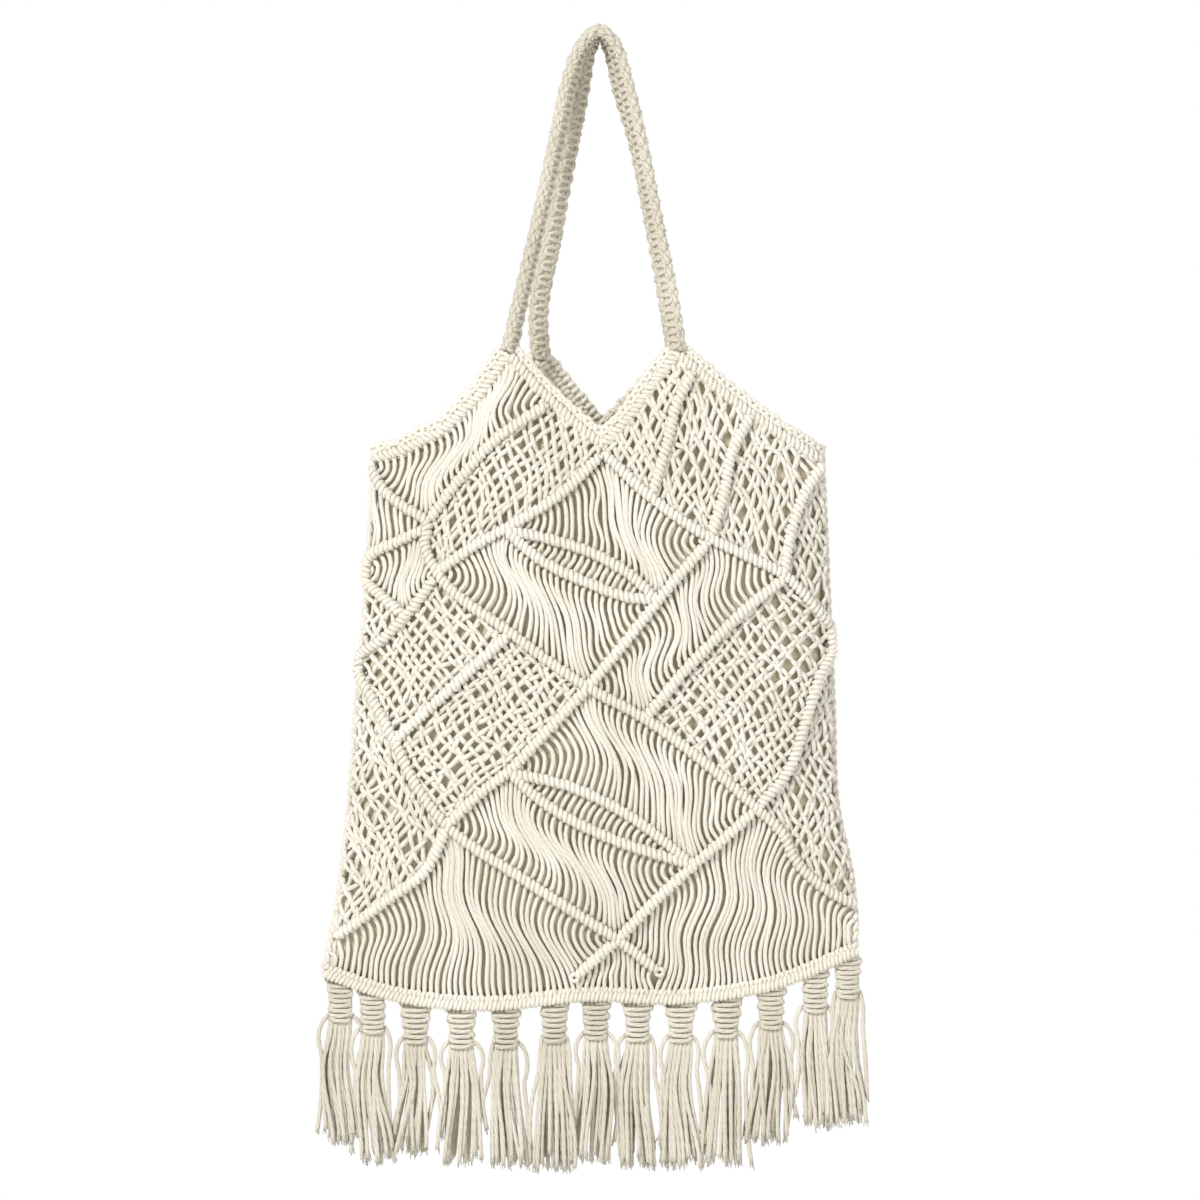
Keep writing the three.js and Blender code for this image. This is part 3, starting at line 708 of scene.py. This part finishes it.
# %% Where the cords hang
CORD = 1.75
HEM_CORD = 1.7
HANGING = [
    # the lines above and the lines below, each from left to right, the cords' radius and their spacing, and
    # how far they bow where that is not the usual
    ([("rim", (-168, -303), (-40, -264))],
     [("long_diagonal", (-168, -310), (-126, -350)), "-shoulder"], CORD, 6.0),
    ([("long_diagonal", (-168, -310), (-127, -352))],
     [("side_chevron", (-171, -379), (-129, -356))], CORD, 6.0, 0.4),
    ([("side_chevron", (-173, -386), (-129, -356)), ("long_diagonal", (-128, -360), (-120, -388))],
     [("side_chevron", (-173, -388), (-144, -420)), ("left_zigzag", (-144, -420), (-122, -393))],
     CORD, 6.0),
    ([("notch_left", (-66, -353), (0, -302)), ("notch_diagonal", (3, -300), (79, -362))],
     ["upper_leaf", ("cross_upper", (42, -409), (79, -366))], CORD, 5.7),
    (["upper_leaf"], ["upper_leaf_under"], CORD, 5.4),
    ([("notch_left", (-120, -388), (-70, -357)), "upper_leaf_under"],
     [("long_diagonal", (-120, -388), (-9, -473)), ("cross_upper", (-9, -473), (42, -409))], CORD, 5.7),
    (["-cross_upper", ("notch_diagonal", (79, -362), (135, -390))],
     [("long_diagonal", (-9, -473), (33, -496)), "-right_cross"], CORD, 5.9),
    ([("cross_lower", (-66, -535), (-9, -473)), ("long_diagonal", (-9, -473), (116, -563))],
     ["lower_leaf", ("hem_cross_upper", (68, -605), (114, -564))], CORD, 5.6),
    (["lower_leaf"], ["lower_leaf_under"], CORD, 5.4),
    ([("cross_lower", (-113, -575), (-66, -536)), "lower_leaf_under"],
     [("left_zigzag", (-113, -575), (13, -659)), ("hem_cross_upper", (13, -659), (68, -605))], CORD, 5.7),
    ([("left_edge", (-201, -674), (-199, -666)), "-hem_left", ("left_zigzag", (-113, -575), (13, -659))],
     [("hem", (-203, -687), (-13, -706)), "-hem_cross_lower"], HEM_CORD, 5.4, 2.0),
    (["-hem_cross_lower", ("left_zigzag", (13, -659), (42, -682))],
     [("hem", (-17, -706), (42, -704))], HEM_CORD, 5.2),
    (["-hem_cross_upper", ("long_diagonal", (116, -563), (190, -636)),
      ("right_edge", (190, -640), (190, -649))],
     [("left_zigzag", (13, -659), (42, -682)), ("hem", (38, -704), (189, -671))], HEM_CORD, 5.4, 1.4)]
print("fields of hanging cords on each wall:", len(HANGING))

# %% [markdown]
# ## Nets
# In the other fields the cords part into two sets that lean against each other and pass over and under in
# turn. Weaving them one by one would need a simulation. Here each set is a family of slanting lines,
# counted by a number across them. A line ends where it reaches the bars round its field, a slow wave
# bends the whole net, and a cosine lifts and lowers each cord, so that it is on top at every second
# crossing.

# %% Netted cords
NET_CORD = 1.9
NET_SIDES = 5
STEPS_PER_CROSSING = 3
NET_RISE = 1.4
# the falling cords lie a little in front
NET_LEAD = 0.3
# in gaps: how far a cord lies from its place, how near the two of a pair are, and how far a cord bows
DRIFT, PAIRING, NET_BOW = 0.19, 0.09, 0.27
# three waves bend the whole net: how far, in millimetres, and how closely they follow each other
NET_WAVES, WAVE_SIZE, WAVE_RATE = 3, 1.5, 0.045


def inside(points, outline):
    """True where a line to the right from a point crosses the closed outline an odd number of times."""
    x, z = points[..., 0, None], points[..., 1, None]
    x0, z0 = outline.T
    x1, z1 = np.roll(outline, -1, axis=0).T
    spans = (z0 > z) != (z1 > z)
    rise = np.where(z1 == z0, 1e-9, z1 - z0)
    return (spans & (x < x0 + (z - z0) * (x1 - x0) / rise)).sum(axis=-1) % 2 == 1


def longest_run(flags):
    """The first and last place of the longest unbroken row of true values."""
    edge = np.diff(np.r_[0, flags.astype(int), 0])
    starts, ends = np.where(edge == 1)[0], np.where(edge == -1)[0]
    best = np.argmax(ends - starts)
    return starts[best], ends[best]


def netted_cords(facing, outline, fall, climb, falling_gap, climbing_gap, lean):
    """Two families of lines, one falling to the right and one climbing, at angles and gaps of their own.
    Lower down they lean over by the square of the drop: they leave the upper bar at a right angle."""
    frame_line = even_steps(np.concatenate([stretch(part) for part in outline]), 3.0)
    fall, climb = np.radians(fall), np.radians(climb)
    count_by = np.array([[np.sin(fall) / falling_gap, np.cos(fall) / falling_gap],
                         [np.sin(climb) / climbing_gap, -np.cos(climb) / climbing_gap]])
    place_of = np.linalg.inv(count_by)
    counted = frame_line @ count_by.T
    low = np.floor(counted.min(axis=0)).astype(int) - 1
    high = np.ceil(counted.max(axis=0)).astype(int) + 1
    wave = chance.normal(0, 1, (NET_WAVES, 4))
    made = []
    for own, other in ((0, 1), (1, 0)):
        lines = np.arange(low[own], high[own] + 1)
        along = np.arange(low[other] * STEPS_PER_CROSSING, high[other] * STEPS_PER_CROSSING + 1)
        along = along / STEPS_PER_CROSSING
        odd = np.where(lines % 2, 1, -1)[:, None]
        drift = chance.normal(0, DRIFT, (len(lines), 1)) + PAIRING * odd
        size = chance.normal(0, NET_BOW, (len(lines), 1))
        bow = size * np.sin(along[None] * 0.8 + chance.uniform(0, 6, (len(lines), 1)))
        counts = np.zeros((len(lines), len(along), 2))
        counts[:, :, own] = lines[:, None] + drift + bow
        counts[:, :, other] = along[None]
        flat = counts @ place_of.T
        for row in wave:
            turn = flat[..., 0] * WAVE_RATE * row[0] + flat[..., 1] * WAVE_RATE * row[1] + 3 * row[2]
            flat = flat + WAVE_SIZE * np.stack([np.sin(turn), np.cos(turn + row[3])], axis=-1)
        drop = (frame_line[:, 1].max() - flat[..., 1]) / np.ptp(frame_line[:, 1])
        flat[..., 0] -= lean * drop**2
        within = inside(flat, frame_line)
        rise = (1 - 2 * own) * (NET_RISE * np.cos(np.pi * along)[None] * odd + NET_LEAD)
        for line in np.where(within.any(axis=1))[0]:
            first, last = longest_run(within[line])
            part = slice(max(first - 1, 0), last + 1)
            path, normal = on_wall(facing, flat[line, part], rise[line, part])
            made.append(tubes(path[None], normal, NET_CORD, sides=NET_SIDES))
    return gather(made)


print("a netted cord is", 2 * NET_CORD, "mm thick")

# %% Where the nets are
NETS = [
    # the lines round the net, how steeply its cords fall and climb, the gaps between them, their lean
    (["-shoulder", ("rim", (-40, -264), (0, -296)), "notch_left",
      ("long_diagonal", (-120, -388), (-126, -352))], 72, 46, 6.2, 5.8, 8),
    ([("rim", (3, -296), (62, -230)), "strip_inner", ("notch_diagonal", (39, -333), (3, -300))],
     62, 64, 5.4, 5.3, 0),
    (["-strip_inner", ("rim", (68, -236), (111, -266)), "strip_middle",
      ("notch_diagonal", (81, -363), (39, -333))], 66, 68, 6.0, 5.8, 0),
    (["-strip_middle", ("rim", (111, -268), (163, -303)), "strip_outer",
      ("notch_diagonal", (135, -390), (81, -363))], 64, 68, 6.0, 5.8, 0),
    (["-strip_outer", ("right_edge", (165, -308), (172, -436)),
      ("notch_diagonal", (172, -436), (135, -390))], 64, 72, 5.5, 5.5, 0),
    (["-right_cross", ("notch_diagonal", (135, -390), (172, -436)),
      ("notch_diagonal", (172, -436), (116, -562)), ("long_diagonal", (116, -563), (33, -496))],
     54, 50, 5.7, 6.4, 14),
    ([("side_chevron", (-173, -391), (-144, -420)), ("left_zigzag", (-144, -420), (-178, -454)),
      ("left_edge", (-180, -452), (-175, -392))], 58, 60, 5.9, 5.7, 0),
    ([("left_zigzag", (-179, -454), (-122, -393)), ("long_diagonal", (-120, -388), (-67, -432)),
      "left_cross", ("left_zigzag", (-152, -511), (-179, -454))], 60, 52, 5.9, 6.0, 0),
    (["-left_cross", ("long_diagonal", (-67, -432), (-9, -473)), "cross_lower",
      ("left_zigzag", (-113, -575), (-152, -511))], 56, 42, 6.0, 5.6, 0),
    ([("left_edge", (-198, -658), (-180, -456)), ("left_zigzag", (-179, -454), (-113, -575)), "hem_left"],
     62, 62, 5.2, 5.3, 0),
    ([("notch_diagonal", (116, -562), (172, -436)), ("right_edge", (172, -438), (190, -634)),
      ("long_diagonal", (190, -636), (116, -563))], 64, 64, 5.6, 5.6, 0)]
print("nets on each wall:", len(NETS))

# %% [markdown]
# ## Side seams
# Where the walls meet, two cords are laced round each other from the hem to the rim, and a straight
# filling cord closes the gap beside them in the corner above the hem. The lacing could go through every
# netted cord in turn. From outside only its twist shows, so a twisted pair on the edge is enough. Fields,
# nets and seams of a wall are then one piece, because they are one cloth of cord.

# %% Side seams
SEAM_LACING = dict(half_wide=1.2, half_thick=2.0, period=15.0, cord=1.9)
CORNER_STEPS = 32
CORNER_INSET = 3.7
CORNER_CORD = 2.2
FORWARD = np.array([0.0, -1.0, 0.0])


def twisted_pair(line, wide, thick, half_wide, half_thick, period, cord):
    """Two cords that turn round each other: a flattened circle drawn out along a line, a period a turn."""
    turns = 2 * np.pi * length_along(line)[None] / period + np.array([[0.0], [np.pi]])
    paths = line + wide * (half_wide * np.sin(turns))[..., None]
    paths = paths + thick * (half_thick * np.cos(turns))[..., None]
    return tubes(paths, wide, cord)


def side_seam(angle):
    """A twisted pair on the edge of the wall, and a straight cord inside its lowest stretch."""
    line = wall(FRONT, np.full(200, angle), np.linspace(0.01, 1.02, 200))
    line[:, 1] = 0
    line = even_steps(line, 2.0)
    outward = np.array([np.sign(angle), 0.0, 0.0])
    corner = line[:CORNER_STEPS] - outward * CORNER_INSET
    return gather([twisted_pair(line, outward, FORWARD, **SEAM_LACING),
                   tubes(corner[None], FORWARD, CORNER_CORD)])


seams = {"front": side_seam(-np.pi / 2), "back": side_seam(np.pi / 2)}
print("points in each seam:", len(seams["front"]["points"]))

# %% The two panels
for side, facing in SIDES.items():
    LINES["rim"] = rim_view(facing)
    cords = [hanging_cords(facing, *field) for field in HANGING]
    nets = [netted_cords(facing, *field) for field in NETS]
    surface = gather([*cords, *nets, seams[side]])
    piece(side + "_panel_cords", surface, CORD_COTTON, [side + "_panel"])
    print(side, "panel triangles:", triangles[side + "_panel_cords"])

# %% [markdown]
# ## Straps
# Each strap is a braid of square knots over flat filling cords. On both faces two working cords cross
# from one edge to the other and back, and along the edges their turns lie in a plait. A flat band with a
# picture of knots would look thin from the side, so the cords are modelled: the crossing is a cosine
# across the strap, and the edges are rows of loops, each half covered by the next.

# %% Knotted straps
STRAPS = {
    # x, y, z, and the turn in degrees from facing forward
    "front": [
        (-67, -21, -224, 50), (-62, -20, -200, 60), (-47, -17, -135, 70), (-32, -13, -67, 60),
        (-22, -9, -22, 55), (-16, -8, -3, 65), (-1, -8, 14.5, 90), (12, -8, 0, 65), (17, -9, -18, 55),
        (29, -13, -67, 62), (42, -17, -135, 52), (54, -20, -200, 34), (57, -21, -224, 25)],
    "back": [
        (-44, 22, -228, 20), (-46, 20, -200, 20), (-35, 17, -135, 30), (-22, 13, -67, 45),
        (-13, 9, -22, 55), (-10, 8, -4, 65), (0, 8, 13, 90), (10, 8, -4, 65), (14, 9, -22, 58),
        (27, 13, -67, 60), (41, 17, -135, 52), (53, 20, -200, 34), (57, 21, -224, 25)]}
STRAP_STEP = 1.2
STRAP_FILLING = dict(half_high=3.1, half_wide=5.0, sides=10)
STRAP_KNOTS = dict(half_wide=4.7, half_thick=3.5, pitch=5.6, cord=1.9)
EDGE_OUT, LOOP_PERIOD, LOOP_CORD = 4.7, 10.0, 2.2
# a loop starts this far beside the line, comes in by the second length and stands out by the third
LOOP_START, LOOP_IN, LOOP_OUT = 1.9, 1.6, 1.2


def strap_frame(rows, step):
    """The strap's line, its wide direction, turned about the line, and its thick direction."""
    rows = along_line(rows, step)
    line = rows[:, :3]
    turn = np.radians(rows[:, 3])[:, None]
    heading = unit(np.gradient(line, axis=0))
    flat = unit(np.cross(heading, -FORWARD))
    wide = flat * np.cos(turn) + np.cross(heading, flat) * np.sin(turn)
    return line, wide, np.cross(wide, heading)


def edge_loops(line, wide, thick):
    """A plaited edge: two rows of loops, half a loop apart. Each loop swells in its middle, runs from the
    outside of its row to the line, and thins out where the next one covers it."""
    share = length_along(line)[None] / LOOP_PERIOD + np.array([[0.0], [0.5]])
    swell = np.abs(np.sin(np.pi * share))
    beside = np.array([[-1.0], [1.0]]) * (LOOP_START - LOOP_IN * (share % 1))
    paths = line + wide * (LOOP_OUT * swell)[..., None] + thick * beside[..., None]
    return tubes(paths, wide, LOOP_CORD * (0.25 + 0.75 * swell))


for side, rows in STRAPS.items():
    line, wide, thick = strap_frame(rows, STRAP_STEP)
    filling = tubes(line[None], thick, **STRAP_FILLING)
    knots = [square_knots(line, wide, way, **STRAP_KNOTS) for way in (thick, -thick)]
    edges = [edge_loops(line + wide * way * EDGE_OUT, wide * way, thick) for way in (-1, 1)]
    strap = gather([*knots, *edges, filling])
    piece(side + "_strap_knots", strap, STRAP_COTTON_PAINTED_SHADE, [side + "_handle"])
    print(side, "strap, mm:", length_along(line)[-1].round())

# %% [markdown]
# ## Tassels
# Below the hem the cords are gathered into thirteen tassels. Each has a head of the same square knots,
# and the cords below it hang loose, spread a little and end in opened fibres. Hair strands would be lost
# on export, so each cord is a tube with a gentle random sway, and its last centimetre splits into thin
# tapering fibres.

# %% Loose cords
STRAND = 1.75
WORKING_CORD = 1.85
FRONT_STRANDS, BACK_STRANDS = 11, 8
FRONT_HALF, BACK_HALF = 7.2, 6.4
# every second cord of a row lies deeper
ROW_DEPTH, ROW_STAGGER = 2.2, 1.7
# the share of a cord that is inside the head
IN_HEAD = 0.2
SPREAD, OWN_SPREAD, LEAN = 1.3, 1.8, 2.4
FIBRES, FIBRE_PART, FIBRE_DROP = 4, 1.2, 4.0


def loose_ends(paths):
    """Opened cord ends: thin tapering fibres that start inside a cord's last stretch and part from it."""
    start = np.repeat(paths[:, -3], FIBRES, axis=0)
    last = np.repeat(paths[:, -1], FIBRES, axis=0)
    away = chance.normal(0, FIBRE_PART, last.shape)
    away[:, 2] = -chance.uniform(0, FIBRE_DROP, len(last))
    s = np.linspace(0, 1, 5)[None, :, None]
    strays = start[:, None] * (1 - s) + last[:, None] * s + away[:, None] * s**2
    return tubes(strays, FORWARD, 0.8 - 0.5 * s[:, :, 0], sides=4)


def skirt(x, top, foot, tips, flare):
    """Loose cords in a front and a back row. Each goes straight down inside the head, then drifts to its own
    place in the spread skirt, with a slow sway of its own and a lean that the whole skirt shares."""
    row = np.r_[np.linspace(-FRONT_HALF, FRONT_HALF, FRONT_STRANDS),
                np.linspace(-BACK_HALF, BACK_HALF, BACK_STRANDS)]
    deep = np.r_[-ROW_DEPTH - ROW_STAGGER * (np.arange(FRONT_STRANDS) % 2),
                 ROW_DEPTH + ROW_STAGGER * (np.arange(BACK_STRANDS) % 2)]
    count = len(row)
    t = np.linspace(0, 1, 17)[None]
    below = np.clip((t - IN_HEAD) / (1 - IN_HEAD), 0, 1)
    belly = chance.normal(0.4, 0.4)
    spread = below * (1 + belly - belly * below)
    target = row * SPREAD * flare + chance.normal(0, OWN_SPREAD, count) + chance.normal(0, LEAN)
    sideways = row[:, None] + (target - row)[:, None] * spread
    cycles = chance.uniform(0.8, 1.9, (count, 1))
    own = chance.normal(0, 1.5, (count, 1)) * np.sin(np.pi * below * cycles)
    shared = chance.normal(0, 2.0) * np.sin(1.4 * np.pi * below)
    sway = (own + shared) * np.minimum(below * 3, 1)
    end = tips + np.abs(chance.normal(0, 5.0, count))
    height = np.where(t < IN_HEAD, top + (foot - top) * t / IN_HEAD, foot + (end[:, None] - foot) * below)
    depth = deep[:, None] * (0.45 + 1.05 * spread) + chance.normal(0, 1.0, (count, 1)) * spread
    paths = np.stack([x + sideways + sway, depth, height], axis=-1)
    return [tubes(paths, FORWARD, STRAND), loose_ends(paths)]


def working_ends(x, foot, tips, flare):
    """The two cords that tied the head: each leaves a lower corner, bows out and hangs beside the skirt."""
    t = np.linspace(0, 1, 16)[None]
    side = np.array([[-1.0], [1.0]])
    bow = chance.uniform(1.0, 5.0, (2, 1)) * np.sin(np.pi * np.minimum(t * 2.4, 1))
    reach = 8.6 + bow + (chance.uniform(3, 8, (2, 1)) + 2 * flare) * t**0.8
    reach = reach + chance.normal(0, 1.8, (2, 1)) * np.sin(2 * np.pi * t)
    end = tips + chance.uniform(-2, 26, (2, 1))
    height = foot + 3.0 + (end - foot - 3.0) * t**1.2
    paths = np.stack([x + side * reach, np.full_like(reach, -1.5), height], axis=-1)
    return [tubes(paths, FORWARD, WORKING_CORD), loose_ends(paths)]


print("loose cords in each tassel:", FRONT_STRANDS + BACK_STRANDS + 2)

# %% Tassels
TASSELS = [
    # x, height of the tips, and how far the skirt spreads
    (-193, -813, 1.1), (-169, -827, 1.1), (-137, -821, 1.6), (-103, -827, 1.6), (-70, -830, 1.6),
    (-34, -832, 1.5), (-3, -826, 1.45), (28, -830, 1.45), (60, -831, 1.6), (94, -829, 1.6),
    (127, -812, 1.6), (160, -801, 1.1), (184, -797, 1.1)]
HEAD_HEIGHT = 28
HEAD_POINTS = 9
HEAD_KNOTS = dict(half_wide=8.2, half_thick=5.0, pitch=HEAD_HEIGHT / 7, cord=1.75, sag=3.2, uneven=0.06)
UNDER_HEM = 2.0


def tassel_surface(x, tips, flare):
    """A knotted head under the hem, wider at the top, the skirt, and the two working cords beside it."""
    corners = np.array([x - 8, x, x + 8])
    hem = hem_height((corners - HEM_LEFT) / (HEM_RIGHT - HEM_LEFT))
    top = hem.max() - UNDER_HEM
    foot = hem[1] - UNDER_HEM - HEAD_HEIGHT
    down = np.linspace(0, 1, HEAD_POINTS)
    taper = (0.92 + (0.5 * flare - 0.3) * (1 - down)**2)[:, None]
    z = np.linspace(top, foot, HEAD_POINTS)
    line = np.stack([np.full_like(z, x), 1.2 * (1 - down), z], axis=-1)
    wide = np.array([1.0, 0.0, 0.0]) * taper
    head = square_knots(line, wide, np.broadcast_to(FORWARD, line.shape), **HEAD_KNOTS)
    return gather([head, *skirt(x, top, foot, tips, flare), *working_ends(x, foot, tips, flare)])


for number, row in enumerate(TASSELS, start=1):
    node = f"tassel_{number:02d}"
    piece(node + "_cords", tassel_surface(*row), FRINGE_COTTON_PAINTED_SHADE, [node])
print("pieces so far:", len(triangles), "with triangles:", sum(triangles.values()))

# %% [markdown]
# ## The lining
# A pouch of tan cotton cloth hangs inside from the rim. A cloth simulation could drop it in, but it lies
# close behind the cords and follows the walls, so it is the same formula set a few millimetres in, with
# the bottom closed to a seam. It is one sheet, folded at the hem and sewn at the sides, and Solidify
# gives it the thickness of cloth.

# %% Lining pouch
LINING_OUT = -4.9
LINING_FOOT, LINING_HEAD = 2, 4
CLOTH_MM = 0.8
turn = np.linspace(-np.pi, np.pi, 97)[:-1]
rows = np.linspace(0, 1, 41)
angle = np.arcsin(np.sin(turn))
is_front = np.cos(turn) > 0
across = (1 + np.sin(angle)) / 2
halves = {}
for facing in (FRONT, BACK):
    height = rim_height(facing, across) - hem_height(across)
    up = LINING_FOOT / height[None] + (1 - (LINING_FOOT + LINING_HEAD) / height[None]) * rows[:, None]
    halves[facing] = wall(facing, np.broadcast_to(angle, up.shape), up, LINING_OUT)
pouch = np.where(is_front[None, :, None], halves[FRONT], halves[BACK])
pouch[0, :, 1] = 0.0
index = np.arange(pouch.shape[0] * pouch.shape[1]).reshape(pouch.shape[:2])
column = np.arange(len(turn))
# the two halves share the points of the bottom seam
index[0] = np.where(is_front, column, (len(turn) // 2 - column) % len(turn))
following = np.roll(index, -1, axis=1)
quads = np.stack([index[:-1], following[:-1], following[1:], index[1:]], axis=-1).reshape(-1, 4)
used, corners = np.unique(quads, return_inverse=True)
lining_surface = {"points": pouch.reshape(-1, 3)[used], "faces": [corners.reshape(-1, 4)],
                  "maps": [np.zeros((quads.size, 2))], "tint": np.zeros(len(used))}
lining = piece("lining_pouch", lining_surface, LINING_CLOTH, ["lining"])
solidify = lining.modifiers.new("cloth_thickness", "SOLIDIFY")
solidify.thickness = CLOTH_MM * MM
solidify.offset = -1

# %% [markdown]
# ## Studio
# The bag hangs in soft white light from all round. A large key lamp to the upper left shapes the cords, a
# weak fill lamp to the right keeps the straps' inner faces clear, and a lamp behind lights the other
# wall. One bright surround would be simpler, but the knots would look flat. The floor is a plain pale
# sheet well below the tassels. The camera looks straight at the bag through a long lens, framed as a
# square of 888 mm at the bag.

# %% Floor and surround
floor_mesh = bpy.data.meshes.new("pale_floor")
floor_mesh.from_pydata([(-2, -2, -1), (2, -2, -1), (2, 1.5, -1), (-2, 1.5, -1)], [], [(0, 1, 2, 3)])
floor = bpy.data.objects.new("pale_floor", floor_mesh)
bpy.context.scene.collection.objects.link(floor)
# Pale matt floor paint: takes a soft shadow and no shine.
floor_paint, tree = bare_material("pale_floor_paint")
shader = add(tree, "ShaderNodeBsdfPrincipled", {"Base Color": linear("#F2F1EE"), "Roughness": 0.9})
add(tree, "ShaderNodeOutputMaterial", {"Surface": shader.outputs[0]})
floor_mesh.materials.append(floor_paint)

studio = bpy.data.worlds.new("white_studio")
studio.use_nodes = True
sky = studio.node_tree
way = add(sky, "ShaderNodeTexCoord").outputs["Generated"]
climb = add(sky, "ShaderNodeSeparateXYZ", {0: way}).outputs["Z"]
tilt = add(sky, "ShaderNodeMath", {0: climb}, operation="ABSOLUTE").outputs[0]
bright = add(sky, "ShaderNodeMapRange", {
    "Value": tilt, "From Min": 0.2, "From Max": 0.6, "To Min": 1.0, "To Max": 0.3},
    interpolation_type="SMOOTHSTEP").outputs[0]
sky.links.new(bright, sky.nodes["Background"].inputs["Strength"])
sky.nodes["Background"].inputs["Color"].default_value = (1, 1, 1, 1)
bpy.context.scene.world = studio
print("surround:", studio.name, "floor:", floor.name)

# %% Lamps and camera
FRAME_WIDTH = 0.888
CAMERA_DISTANCE = 6.0
CAMERA_HEIGHT = -0.4085
# how far the bulging front stands before the origin
BULGE = 0.03
SENSOR = 36
LAMP_AIM = Vector((0, 0, -0.45))
LAMPS = {
    # place, size and watts
    "key_lamp": ((-3.2, -4.6, 3.0), 1.2, 370),
    "fill_lamp": ((3.6, -4.4, 1.2), 2.0, 60),
    "back_lamp": ((3.2, 4.6, 2.0), 2.4, 340)}
for name, (place, size, watts) in LAMPS.items():
    lamp = bpy.data.lights.new(name, "AREA")
    lamp.size = size
    lamp.energy = watts
    holder = bpy.data.objects.new(name, lamp)
    bpy.context.scene.collection.objects.link(holder)
    holder.location = place
    holder.rotation_euler = (LAMP_AIM - Vector(place)).to_track_quat("-Z", "Y").to_euler()
lens = bpy.data.cameras.new("front_camera")
lens.sensor_width = SENSOR
lens.lens = SENSOR * (CAMERA_DISTANCE - BULGE) / FRAME_WIDTH
camera = bpy.data.objects.new("front_camera", lens)
camera.location = (0, -CAMERA_DISTANCE, CAMERA_HEIGHT)
camera.rotation_euler = (np.pi / 2, 0, 0)
bpy.context.scene.collection.objects.link(camera)
bpy.context.scene.camera = camera
bpy.context.scene.view_settings.view_transform = "Standard"
print("lamps:", len(LAMPS), "lens, mm:", round(lens.lens))

# %% [markdown]
# ## Triangles
# The triangles of all the pieces are counted.

# %% Count the triangles
print("triangles added:", sum(triangles.values()))
